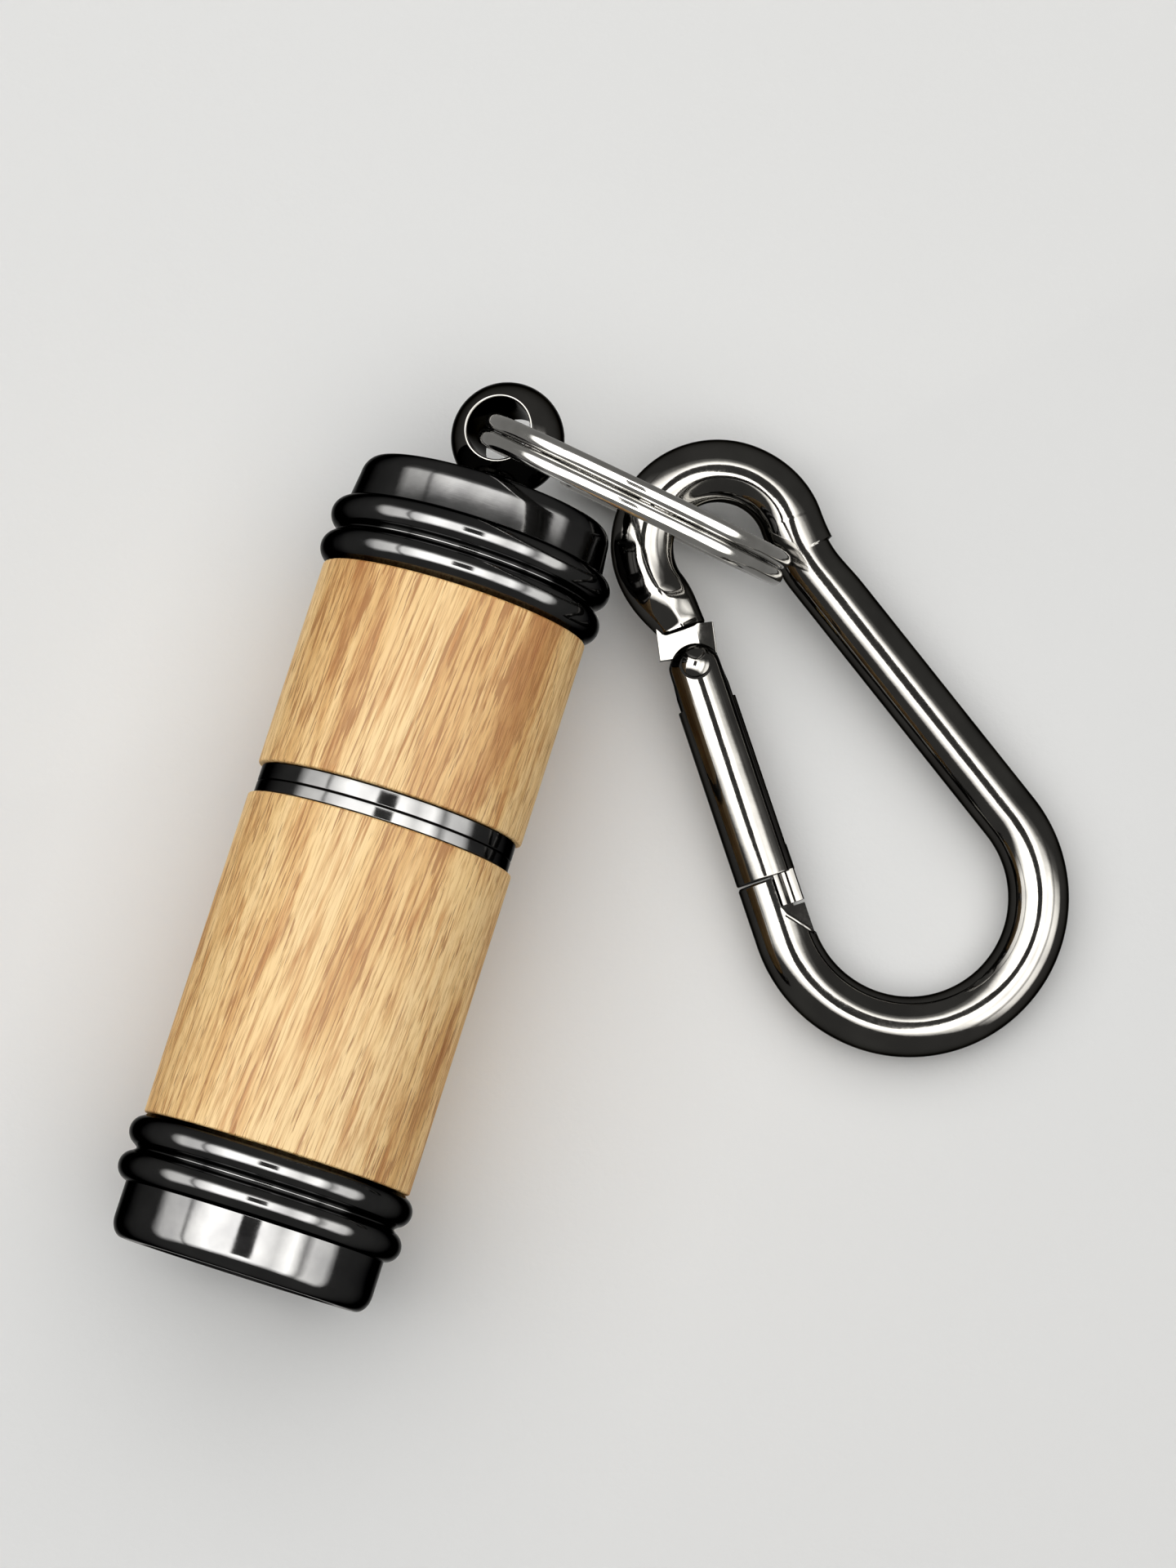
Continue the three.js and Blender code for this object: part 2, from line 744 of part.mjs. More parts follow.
/** Hollow gate, open along its inner side, with two cheeks over the tongue and a latch tab. */
function gate() {
  const barrelStart = 4;
  const slotHalf = TONGUE_THICKNESS / 2 + TURNED_GAP;
  const barrel = barAlongX(WIRE_R, barrelStart, GATE_LENGTH);
  const outline = new THREE.Shape();
  outline.absarc(0, 0, GATE_CHEEK_R, Math.PI / 2, 1.5 * Math.PI, false);
  outline.lineTo(barrelStart + 0.5, -GATE_CHEEK_R);
  outline.lineTo(barrelStart + 0.5, GATE_CHEEK_R);
  const cheekSlab = new THREE.ExtrudeGeometry(outline, {
    depth: 2 * WIRE_R,
    bevelEnabled: false,
    curveSegments: 8,
  });
  cheekSlab.translate(0, 0, -WIRE_R);
  const cheeks = common(cheekSlab, barAlongX(WIRE_R, -3, barrelStart + 1));
  const tabBlock = block(
    [GATE_LENGTH - 0.5, 0.2 + TURNED_GAP, -1.3],
    [GATE_LENGTH + LATCH_LENGTH, WIRE_R - 0.1, 1.3],
  );
  const tab = common(tabBlock, barAlongX(WIRE_R, GATE_LENGTH - 1, GATE_LENGTH + LATCH_LENGTH + 1));
  return cut(
    join(barrel, cheeks, tab),
    block([-3, -3, -slotHalf], [3.1, 3, slotHalf]),
    barAlongX(1.3, 3, 13.6),
    block([3, 0.9, -0.7], [15, 3, 0.7]),
    barAlongZ(RIVET_R + TURNED_GAP, -4, 4),
    barAlongZ(RIVET_HEAD_R + TURNED_GAP, 1.85, 4),
    barAlongZ(RIVET_HEAD_R + TURNED_GAP, -4, -1.85),
  );
}

function gatePlunger() {
  return join(barAlongX(1.0, TONGUE_BEYOND + TURNED_GAP, 4.4), barAlongX(0.45, 4.2, 6.8));
}

function gateSpring() {
  const coil = swept(roundSection(0.2, 5), new CoilCurve(0.85, 0.85, 4.75, 13.25, 6), 48);
  coil.rotateZ(-Math.PI / 2);
  return coil;
}

// ---------------------------------------------------------------------------------------------
// Assembly
// ---------------------------------------------------------------------------------------------

function add(parent, name, geometry, finish) {
  const mesh = new THREE.Mesh(geometry, finish);
  mesh.name = name;
  parent.add(mesh);
}

const flashlight = new THREE.Group();
flashlight.position.z = CROWN_R;
add(flashlight, 'head_cap', headCap(), gunmetal());
add(flashlight, 'head_barrel', woodSleeve(HEAD_WOOD), wood());
add(flashlight, 'head_tube', linerTube(REFLECTOR_FRONT + 0.8, HEAD_WOOD[1]), brass());
add(flashlight, 'head_coupler', headCoupler(), gunmetal());
add(flashlight, 'coupler_o_ring', roundRing(O_RING_R, PARTING + 0.5, O_RING_SECTION_R), blackRubber());
add(flashlight, 'lens', lens(), clearPlastic());
add(flashlight, 'lens_gasket', roundRing(7.9, 2.95, 0.3), blackRubber());
add(flashlight, 'reflector', reflector(), chromedPlastic());
add(flashlight, 'led', diode(), clearPlastic());
add(flashlight, 'led_holder', diodeHolder(), whitePlastic());
add(flashlight, 'circuit_board', circuitBoard(), boardGreen());
add(flashlight, 'board_contact', boardContact(), brass());
add(flashlight, 'resistor', resistor(), resistorTan());
add(flashlight, 'battery_sleeve', batterySleeve(), whitePlastic());
for (let i = 0; i < CELL_COUNT; i += 1) {
  add(flashlight, `button_cell_${i + 1}`, buttonCell(FIRST_CELL + i * CELL_HEIGHT), cellSteel());
}
add(flashlight, 'contact_spring', contactSpring(), springSteel());
add(flashlight, 'contact_plug', contactPlug(), brass());
add(flashlight, 'tail_coupler', tailCoupler(), gunmetal());
add(flashlight, 'tail_tube', linerTube(TAIL_WOOD[0], 57.2), brass());
add(flashlight, 'tail_barrel', woodSleeve(TAIL_WOOD), wood());
add(flashlight, 'tail_cap', tailCap(), gunmetal());
add(flashlight, 'swivel_eye', swivelEye(), gunmetal());
add(flashlight, 'swivel_clip', swivelClip(), springSteel());

const ringHeading = new THREE.Group();
ringHeading.position.copy(RING_CENTRE);
ringHeading.rotation.z = RING_HEADING;
const ringLean = new THREE.Group();
ringLean.rotation.x = RING_LEAN;
ringHeading.add(ringLean);
add(ringLean, 'split_ring', splitRing(), nickel());

const hookHeading = new THREE.Group();
hookHeading.position.copy(HOOK_CENTRE);
hookHeading.rotation.z = HOOK_HEADING;
const hookPlane = new THREE.Group();
hookPlane.rotation.y = -HOOK_TILT;
hookHeading.add(hookPlane);
add(hookPlane, 'carabiner_hook', hook(), gunmetal());

const gateFrame = new THREE.Group();
gateFrame.position.set(RIVET_POINT.x, RIVET_POINT.y, 0);
gateFrame.rotation.z = Math.PI - SIDE_ANGLE;
hookPlane.add(gateFrame);
add(gateFrame, 'gate_rivet', rivet(), gunmetal());
add(gateFrame, 'gate', gate(), gunmetal());
add(gateFrame, 'gate_plunger', gatePlunger(), brass());
add(gateFrame, 'gate_spring', gateSpring(), springSteel());

const keychainLight = new THREE.Group();
keychainLight.add(flashlight, ringHeading, hookHeading);
keychainLight.updateMatrixWorld(true);
const box = new THREE.Box3().setFromObject(keychainLight, true);
const middle = box.getCenter(new THREE.Vector3());
keychainLight.position.set(-middle.x, -middle.y, -box.min.z);

export default keychainLight;
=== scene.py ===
import math

import bmesh
import bpy
from mathutils import Matrix, Vector


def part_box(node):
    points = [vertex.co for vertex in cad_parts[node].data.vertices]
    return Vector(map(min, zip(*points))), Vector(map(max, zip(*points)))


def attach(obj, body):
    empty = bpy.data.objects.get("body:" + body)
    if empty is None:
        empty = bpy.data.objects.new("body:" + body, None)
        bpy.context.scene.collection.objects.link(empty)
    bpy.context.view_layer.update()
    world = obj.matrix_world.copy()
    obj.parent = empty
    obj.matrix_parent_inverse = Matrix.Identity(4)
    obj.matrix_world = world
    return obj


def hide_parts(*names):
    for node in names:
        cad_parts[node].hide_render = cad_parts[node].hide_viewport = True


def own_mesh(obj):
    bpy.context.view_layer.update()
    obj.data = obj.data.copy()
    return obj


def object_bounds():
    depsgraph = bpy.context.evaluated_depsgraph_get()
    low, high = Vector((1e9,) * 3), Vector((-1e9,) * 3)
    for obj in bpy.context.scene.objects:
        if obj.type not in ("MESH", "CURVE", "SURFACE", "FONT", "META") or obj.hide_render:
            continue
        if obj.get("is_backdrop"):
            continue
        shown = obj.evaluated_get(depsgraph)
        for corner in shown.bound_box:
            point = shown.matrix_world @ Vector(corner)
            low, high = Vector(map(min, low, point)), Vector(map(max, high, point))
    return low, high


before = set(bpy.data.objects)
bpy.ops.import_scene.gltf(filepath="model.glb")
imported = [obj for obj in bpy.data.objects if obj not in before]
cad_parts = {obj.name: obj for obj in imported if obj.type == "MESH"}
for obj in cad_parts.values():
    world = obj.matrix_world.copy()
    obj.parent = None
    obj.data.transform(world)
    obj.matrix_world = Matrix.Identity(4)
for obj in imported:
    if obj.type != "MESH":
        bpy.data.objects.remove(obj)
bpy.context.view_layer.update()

# All shapes below are drawn in millimetres and brought to metres by their placing matrix.
MM = 0.001

# ----------------------------------------------------------------------------------------------
# Frames: flashlight, ring, hook and gate
# ----------------------------------------------------------------------------------------------

cap_low, cap_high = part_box("head_cap")
# The point on the floor under the middle of the lens face.
LENS_END = Vector(((cap_low.x + cap_high.x) / 2, cap_low.y, 0.0))
AXIS_HEIGHT = (cap_high.z - cap_low.z) / 2 / MM  # the flashlight lies on its beads


def at(x, y, z):
    """Placing matrix of a point given in mm from the lens end, with z above the floor."""
    return Matrix.Translation(LENS_END + Vector((x, y, z)) * MM) @ Matrix.Scale(MM, 4)


def turn(degrees, axis):
    return Matrix.Rotation(math.radians(degrees), 4, axis)


BODY = at(0, 0, AXIS_HEIGHT)  # lathe axis of the flashlight, y is the station
RING_CENTRE = (10.45, 63.45, 12.58)
RING_TURN = -8.5
RING_TILT = 9
RING = at(*RING_CENTRE) @ turn(RING_TURN, "Z") @ turn(RING_TILT, "X")
HOOK_CENTRE = (38.9, 42.35, 2.95)  # of the big bend
HOOK_TURN = 136
HOOK_TILT = -3.55
HOOK = at(*HOOK_CENTRE) @ turn(HOOK_TURN, "Z") @ turn(HOOK_TILT, "Y")
SIDE_ANGLE = 9.9  # of each straight side to the hook's long axis
BIG_BEND = 9.8
SMALL_BEND = 5.75
BEND_DISTANCE = 30.2  # between the centres of the two bends
NECK_ANGLE = 99.0  # half the arc of the small eye
GATE_PIVOT = 21.7  # along the gate side, from the big bend's end
GATE_LENGTH = 17.0
WIRE_R = 2.297  # a hair under the CAD's wire, so that the smooth form stays inside its box
EYE_WIRE_R = 2.39


def on_side(distance, sign=1):
    """Centre line of the hook's gate side (sign 1) or spine (sign -1), from the big bend's end."""
    a = math.radians(SIDE_ANGLE)
    x = BIG_BEND * math.sin(a) + distance * math.cos(a)
    y = BIG_BEND * math.cos(a) - distance * math.sin(a)
    return Vector((x, sign * y))


RIVET_POINT = on_side(GATE_PIVOT)
GATE = HOOK @ Matrix.Translation((RIVET_POINT.x, RIVET_POINT.y, 0)) @ turn(180 - SIDE_ANGLE, "Z")

# ----------------------------------------------------------------------------------------------
# Camera, at the photograph's viewing angle
# ----------------------------------------------------------------------------------------------

CAMERA_FOOT = (28.57, -5.34)  # mm from the lens end, the point under the camera
CAMERA_HEIGHT = 390.0
CAMERA_YAW = 17.52
CAMERA_PITCH = 7.5
CAMERA_LENS = 118.5
CAMERA_SENSOR = 36

camera = bpy.data.objects.new("camera", bpy.data.cameras.new("camera"))
camera.data.lens = CAMERA_LENS
camera.data.sensor_width = CAMERA_SENSOR
camera.data.clip_start = 0.01
camera.matrix_world = (
    Matrix.Translation((at(*CAMERA_FOOT, CAMERA_HEIGHT)).translation)
    @ turn(CAMERA_YAW, "Z")
    @ turn(CAMERA_PITCH, "X")
)
bpy.context.collection.objects.link(camera)
bpy.context.scene.camera = camera

# ----------------------------------------------------------------------------------------------
# Mesh helpers
# ----------------------------------------------------------------------------------------------


def arc(cx, cy, radius, first, last, steps):
    """Points of an arc as (across, along) pairs; the angle is measured from the across axis."""
    out = []
    for i in range(steps + 1):
        a = math.radians(first + (last - first) * i / steps)
        out.append((cx + radius * math.cos(a), cy + radius * math.sin(a)))
    return out


NEARLY_STRAIGHT = math.radians(155)
ON_AXIS = 1e-6


def ramped(value, low, high):
    """Smooth step from 0 to 1 between low and high."""
    t = min(1.0, max(0.0, (value - low) / (high - low)))
    return t * t * (3 - 2 * t)


def eased(profile, radius, steps=4):
    """A closed profile whose sharp corners are rounded; corners on the axis stay."""
    count = len(profile)
    out = []
    for i, point in enumerate(profile):
        p = Vector(point)
        a = Vector(profile[i - 1]) - p
        b = Vector(profile[(i + 1) % count]) - p
        angle = a.angle(b, math.pi)
        if p.x < ON_AXIS or angle > NEARLY_STRAIGHT:
            out.append(tuple(p))
            continue
        back = min(radius / math.tan(angle / 2), 0.45 * min(a.length, b.length))
        r = back * math.tan(angle / 2)
        centre = p + (a.normalized() + b.normalized()).normalized() * (r / math.sin(angle / 2))
        start = p + a.normalized() * back - centre
        end = p + b.normalized() * back - centre
        for k in range(steps + 1):
            out.append(tuple(centre + start.lerp(end, k / steps).normalized() * r))
    return out


def grid(rings, wrap_rings=False, cap_ends=True):
    """A closed surface over rings of points; each ring is closed, a one-point ring is a pole."""
    bm = bmesh.new()
    rows = [[bm.verts.new(p) for p in ring] for ring in rings]
    pairs = list(zip(rows, rows[1:]))
    if wrap_rings:
        pairs.append((rows[-1], rows[0]))
    for a, b in pairs:
        n = max(len(a), len(b))
        for i in range(n):
            j = (i + 1) % n
            corners = [a[i % len(a)], a[j % len(a)], b[j % len(b)], b[i % len(b)]]
            face = [v for k, v in enumerate(corners) if v not in corners[:k]]
            if len(face) > 2:
                bm.faces.new(face)
    if cap_ends and not wrap_rings:
        for row in (rows[0], rows[-1]):
            if len(row) > 2:
                bm.faces.new(row)
    bmesh.ops.recalc_face_normals(bm, faces=bm.faces)
    return bm


def spun(radius, along, angle, axis):
    """The point at a radius, a distance along an axis and an angle around it."""
    across = (radius * math.cos(angle), radius * math.sin(angle))
    if axis == "Y":
        return (across[0], along, across[1])
    if axis == "X":
        return (along, across[0], across[1])
    return (across[0], across[1], along)


def lathe(profile, segments=160, rounding=0.08, axis="Y"):
    """Revolves a closed profile of (radius, along) about an axis."""
    points = eased(profile, rounding) if rounding else profile
    rings = []
    for radius, along in points:
        if radius < ON_AXIS:
            rings.append([spun(0, along, 0, axis)])
            continue
        step = 2 * math.pi / segments
        rings.append([spun(radius, along, step * k, axis) for k in range(segments)])
    touches_axis = any(len(ring) == 1 for ring in rings)
    return grid(rings, wrap_rings=not touches_axis, cap_ends=False)


def block(low, high):
    """A box between two corners."""
    bm = bmesh.new()
    bmesh.ops.create_cube(bm, size=1)
    for v in bm.verts:
        v.co = Vector([low[i] + (v.co[i] + 0.5) * (high[i] - low[i]) for i in range(3)])
    return bm


def prism(outline, low, high):
    """A drawing in the XY plane, raised from z low to z high."""
    return grid([[(x, y, z) for x, y in outline] for z in (low, high)])


def to_object(name, bm, matrix):
    mesh = bpy.data.meshes.new(name)
    bm.transform(matrix)
    bm.to_mesh(mesh)
    bm.free()
    obj = bpy.data.objects.new(name, mesh)
    bpy.context.collection.objects.link(obj)
    return obj


def applied(obj, *modifiers):
    """Adds modifiers, given as (type, settings), and bakes them into the mesh."""
    for kind, settings in modifiers:
        mod = obj.modifiers.new(kind.lower(), kind)
        for key, value in settings.items():
            setattr(mod, key, value)
    bpy.context.view_layer.update()
    graph = bpy.context.evaluated_depsgraph_get()
    mesh = bpy.data.meshes.new_from_object(obj.evaluated_get(graph))
    obj.modifiers.clear()
    obj.data = mesh
    return obj


def weld(mesh, distance=0.002):
    """Joins the slivers that boolean work leaves, so that the surface stays closed."""
    bm = bmesh.new()
    bm.from_mesh(mesh)
    for _ in range(2):
        bmesh.ops.remove_doubles(bm, verts=bm.verts, dist=distance)
        bmesh.ops.dissolve_degenerate(bm, edges=bm.edges, dist=distance)
        many_sided = [face for face in bm.faces if len(face.verts) > 4]
        bmesh.ops.triangulate(bm, faces=many_sided)
    rims = [edge for edge in bm.edges if edge.is_boundary]
    bmesh.ops.holes_fill(bm, edges=rims, sides=8)
    bm.to_mesh(mesh)
    bm.free()


def combined(name, matrix, start, *steps):
    """Boolean work in one local frame: start is a bmesh, steps are (operation, bmesh) pairs."""
    obj = to_object(name, start, Matrix.Identity(4))
    tools = []
    settings = []
    for i, (operation, bm) in enumerate(steps):
        tool = to_object(f"{name}_tool_{i}", bm, Matrix.Identity(4))
        tools.append(tool)
        choice = {"object": tool, "operation": operation, "solver": "EXACT"}
        settings.append(("BOOLEAN", choice))
    applied(obj, *settings)
    for tool in tools:
        bpy.data.objects.remove(tool)
    weld(obj.data)
    obj.data.transform(matrix)
    return obj


def finished(obj, body, material, replaces=(), sharp=35):
    """Shades a piece; sets its body and material, and hides the CAD nodes that it stands for."""
    for polygon in obj.data.polygons:
        polygon.use_smooth = True
    obj.data.set_sharp_from_angle(angle=math.radians(sharp))
    obj.data.materials.clear()
    obj.data.materials.append(material)
    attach(obj, body)
    if replaces:
        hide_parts(*replaces)
    return obj


# ----------------------------------------------------------------------------------------------
# Materials
# ----------------------------------------------------------------------------------------------


class Nodes:
    """Short-hand for building the node tree of a material or of the world."""

    def __init__(self, owner):
        owner.use_nodes = True
        self.tree = owner.node_tree

    def add(self, kind, inputs=(), **settings):
        node = self.tree.nodes.new(kind)
        for key, value in settings.items():
            setattr(node, key, value)
        for key, value in dict(inputs).items():
            if isinstance(value, bpy.types.NodeSocket):
                self.tree.links.new(value, node.inputs[key])
            else:
                node.inputs[key].default_value = value
        return node

    def mapped(self, vector, scale, location=(0, 0, 0), rotation=(0, 0, 0)):
        return self.add(
            "ShaderNodeMapping",
            {"Vector": vector, "Scale": scale, "Location": location, "Rotation": rotation},
        ).outputs["Vector"]

    def noise(self, vector, scale, detail=4.0, roughness=0.5, distortion=0.0):
        return self.add(
            "ShaderNodeTexNoise",
            {"Vector": vector, "Scale": scale, "Detail": detail, "Roughness": roughness,
             "Distortion": distortion},
        ).outputs["Fac"]

    def ramp(self, value, stops):
        node = self.add("ShaderNodeValToRGB", {"Fac": value})
        elements = node.color_ramp.elements
        while len(elements) < len(stops):
            elements.new(0.5)
        for element, (position, colour) in zip(elements, stops):
            element.position = position
            grey = isinstance(colour, (int, float))
            element.color = (colour, colour, colour, 1) if grey else (*colour, 1)
        return node.outputs["Color"]

    def between(self, value, low, high, to_low, to_high):
        return self.add(
            "ShaderNodeMapRange",
            {"Value": value, "From Min": low, "From Max": high,
             "To Min": to_low, "To Max": to_high},
        ).outputs["Result"]

    def mix(self, factor, a, b, blend="MIX"):
        node = self.tree.nodes.new("ShaderNodeMix")
        node.data_type = "RGBA"
        node.blend_type = blend
        for key, value in (("Factor", factor), ("A", a), ("B", b)):
            socket = [s for s in node.inputs if s.name == key and s.enabled][0]
            if isinstance(value, bpy.types.NodeSocket):
                self.tree.links.new(value, socket)
            else:
                socket.default_value = value if key == "Factor" else (*value, 1)
        return [s for s in node.outputs if s.enabled][0]

    def maths(self, operation, a, b):
        node = self.add("ShaderNodeMath", operation=operation)
        for i, value in enumerate((a, b)):
            if isinstance(value, bpy.types.NodeSocket):
                self.tree.links.new(value, node.inputs[i])
            else:
                node.inputs[i].default_value = value
        return node.outputs["Value"]


class Material(Nodes):
    """A Principled material whose texture space is millimetres in the object's frame."""

    def __init__(self, name):
        self.material = bpy.data.materials.new(name)
        super().__init__(self.material)
        self.shader = self.tree.nodes["Principled BSDF"]
        coordinates = self.add("ShaderNodeTexCoord").outputs["Object"]
        self.mm = self.mapped(coordinates, (1000, 1000, 1000))

    def bump(self, height, strength, distance_mm):
        normal = self.add(
            "ShaderNodeBump",
            {"Height": height, "Strength": strength, "Distance": distance_mm * MM},
        ).outputs["Normal"]
        self.tree.links.new(normal, self.shader.inputs["Normal"])

    def set(self, **values):
        """Sets or links shader sockets by name, and returns the material."""
        for key, value in values.items():
            socket = self.shader.inputs[key.replace("_", " ")]
            if isinstance(value, bpy.types.NodeSocket):
                self.tree.links.new(value, socket)
            elif isinstance(value, tuple):
                socket.default_value = (*value, 1)
            else:
                socket.default_value = value
        return self.material


def metal(name, dark, light, rough, wave=0.03, grain=(1, 1, 1), edge=1.0):
    """Plated or turned metal: cloudy tone, smudged gloss and a faint waviness of the surface.

    wave is the waviness in mm, grain scales the fine noise along each axis, and edge is how
    strongly the metal mirrors at a glancing angle.
    """
    n = Material(name)
    cloud = n.noise(n.mm, 0.35, 3)
    fine = n.noise(n.mapped(n.mm, grain), 6.0, 3, 0.6)
    tone = n.mix(n.between(cloud, 0.3, 0.7, 0, 1), dark, light)
    smudge = n.between(n.noise(n.mm, 0.9, 5, 0.65), 0.35, 0.75, rough[0], rough[1])
    rough_value = n.maths("ADD", smudge, n.between(fine, 0.3, 0.7, -0.015, 0.02))
    n.bump(n.maths("ADD", cloud, n.maths("MULTIPLY", fine, 0.06)), 0.5, wave)
    return n.set(
        Base_Color=tone,
        Roughness=rough_value,
        Metallic=1.0,
        Specular_Tint=(edge, edge, edge),
    )


DARK_EDGE = 0.25  # black plating mirrors little at a glancing angle
TURNING_MARKS = (0.2, 4.0, 0.2)  # fine noise drawn out around the lathe's axis, which is Y
black_nickel = metal(
    "black_nickel", (0.070, 0.068, 0.065), (0.092, 0.090, 0.085), (0.05, 0.10), edge=DARK_EDGE,
)
black_turned = metal(
    "black_turned", (0.046, 0.046, 0.047), (0.064, 0.064, 0.064), (0.06, 0.11),
    grain=(0.15, 3.0, 0.15), edge=DARK_EDGE,
)
bright_nickel = metal(
    "bright_nickel", (0.36, 0.355, 0.34), (0.46, 0.455, 0.44), (0.07, 0.14), wave=0.012,
)
spring_steel = metal("spring_steel", (0.42, 0.42, 0.43), (0.55, 0.55, 0.56), (0.22, 0.32))
cell_steel = metal(
    "cell_steel", (0.58, 0.58, 0.60), (0.68, 0.68, 0.69), (0.22, 0.34), grain=TURNING_MARKS,
)
brass = metal(
    "brass", (0.62, 0.44, 0.17), (0.74, 0.55, 0.25), (0.18, 0.30), grain=TURNING_MARKS,
)
mirror_coat = metal("mirror_coat", (0.82, 0.82, 0.83), (0.88, 0.88, 0.89), (0.04, 0.09))


GRAIN_ANGLE = math.radians(4.5)


def wood_material():
    n = Material("light_oak")
    # The grain runs a little askew to the flashlight's axis, which is Y. The scales are noise
    # cells per mm across and along the grain, from broad bands down to fibres and pores.
    along = n.mapped(n.mm, (1, 1, 1), rotation=(0, 0, GRAIN_ANGLE))
    # The broad bands are real grain, but their offset is chosen so that a dark band falls along one
    # edge of each barrel, as the camera sees it, and a light one along the middle: painted shade
    # across the round wood.
    shade_placed_band_space = n.mapped(along, (0.30, 0.020, 0.30), location=(6.1, 3.3, 0.4))
    fleck_space = n.mapped(along, (4.6, 0.16, 4.6), location=(7.3, 1.9, 4.1))
    bands = n.noise(shade_placed_band_space, 1.0, 3, 0.55, 0.4)
    streaks = n.noise(n.mapped(along, (2.4, 0.10, 2.4)), 1.0, 4, 0.62, 0.2)
    fibres = n.noise(n.mapped(along, (8.0, 0.22, 8.0)), 1.0, 3, 0.65)
    flecks = n.noise(fleck_space, 1.0, 3, 0.55)
    base = n.ramp(bands, [
        (0.30, (0.58, 0.290, 0.085)),
        (0.42, (0.82, 0.505, 0.190)),
        (0.52, (0.96, 0.672, 0.305)),
        (0.62, (0.98, 0.708, 0.345)),
        (0.74, (0.76, 0.450, 0.155)),
    ])
    streak = n.ramp(streaks, [(0.34, (0.60, 0.36, 0.15)), (0.50, (1, 1, 1))])
    fibre = n.ramp(fibres, [(0.33, (0.58, 0.40, 0.22)), (0.52, (1, 1, 1))])
    # Dark pores gather where the bands are dark.
    crowding = n.maths("ADD", flecks, n.between(bands, 0.38, 0.58, 0.05, -0.05))
    pore = n.ramp(crowding, [(0.56, 0.0), (0.62, 1.0)])
    colour = n.mix(0.75, base, streak, "MULTIPLY")
    colour = n.mix(0.85, colour, fibre, "MULTIPLY")
    colour = n.mix(n.maths("MULTIPLY", pore, 0.85), colour, (0.38, 0.155, 0.035))
    height = n.maths("SUBTRACT", n.maths("MULTIPLY", fibres, 0.5), n.maths("MULTIPLY", pore, 0.6))
    n.bump(height, 0.5, 0.05)
    rough = n.between(fibres, 0.3, 0.7, 0.60, 0.48)
    return n.set(Base_Color=colour, Roughness=rough, Specular_IOR_Level=0.14)


def plastic(name, colour, rough=0.45, speck=0.03, **more):
    """Moulded plastic, rubber or glass: a slightly uneven tone and a fine surface texture."""
    n = Material(name)
    fine = n.noise(n.mm, 9.0, 3, 0.6)
    tone = n.mix(n.between(n.noise(n.mm, 0.6, 3), 0.3, 0.7, 0, 1),
                 tuple(c * 0.9 for c in colour), colour)
    n.bump(fine, 0.4, speck)
    gloss = n.between(fine, 0.3, 0.7, rough - 0.06, rough + 0.06)
    return n.set(Base_Color=tone, Roughness=gloss, **more)


wood = wood_material()
rubber = plastic("black_rubber", (0.02, 0.02, 0.021), 0.65)
white_plastic = plastic("white_plastic", (0.80, 0.79, 0.76), 0.4)
resistor_body = plastic("resistor_body", (0.62, 0.50, 0.33), 0.35)
solder_mask = plastic("solder_mask", (0.012, 0.13, 0.05), 0.25, 0.015)
phosphor = plastic("phosphor", (0.86, 0.72, 0.12), 0.6)
clear_lens = plastic("clear_lens", (0.97, 0.98, 0.99), 0.06, 0.002,
                     Transmission_Weight=1.0, IOR=1.49)
clear_epoxy = plastic("clear_epoxy", (0.96, 0.97, 0.98), 0.08, 0.004,
                      Transmission_Weight=1.0, IOR=1.5)

# ----------------------------------------------------------------------------------------------
# Turned casing and wood
# ----------------------------------------------------------------------------------------------

BODY_LENGTH = 60.8
CROWN = 10.85  # radius over a bead
BEAD_SECTION = 1.2
LAND = 10.15  # radius beside the beads
GROOVE = LAND - 0.3
BAND = 9.9  # radius of the plain band of a cap
TAIL_BAND_END = 9.65
BEAD_PITCH = 2.65
FIRST_BEAD = 1.35  # from the wood's edge
EDGE_DEPTH = 1.0
EDGE_LENGTH = 1.45
HEAD_WOOD = (9.25, 34.0)
TAIL_WOOD = (36.35, 52.1)
WOOD_R = 10.2
WOOD_EDGE = 0.16
BORE = 8.6
MOUTH_R = 6.9
MOUTH_CHAMFER = (0.6, 0.35)  # across and along
LENS_SEAT = 1.0
END_WALL = 2.0
STEM_BORE = 1.75
LINER = (8.0, 8.5)
HEAD_LINER = (4.1, 34.0)
TAIL_LINER = (36.35, 57.2)
PARTING = 35.0
GAP = 0.05
SMOOTH_LATHE = {"segments": 256}


def beads(wood_edge, side):
    """Outline of two beads beside the wood, from the wood outward; side -1 is the lens end."""
    axis_r = CROWN - BEAD_SECTION
    land = math.degrees(math.asin((LAND - axis_r) / BEAD_SECTION))
    band = math.degrees(math.asin((BAND - axis_r) / BEAD_SECTION))
    out = [(BAND, wood_edge + side * GAP)]
    near = wood_edge + side * FIRST_BEAD
    for centre, last in ((near, land), (near + side * BEAD_PITCH, band)):
        for along, up in arc(0, 0, BEAD_SECTION, land, 180 - last, 28):
            out.append((axis_r + up, centre - side * along))
        if centre == near:
            out.append((GROOVE, near + side * BEAD_PITCH / 2))
    return out


def soft_edge(radius, end, inward):
    """The rounded outer edge of a cap, a little longer along the axis than it is deep."""
    return [
        (radius - EDGE_DEPTH * (1 - across), end + inward * EDGE_LENGTH * (1 - along))
        for across, along in arc(0, 0, 1, 0, 90, 14)
    ]


def turned_piece(name, profile, body, slot, material, nodes=None, **options):
    """A finished lathe piece; NAME_form stands for the CAD node NAME."""
    obj = to_object(name, lathe(profile, **options), BODY)
    return finished(obj, body, material, nodes or (name.removesuffix("_form"),))


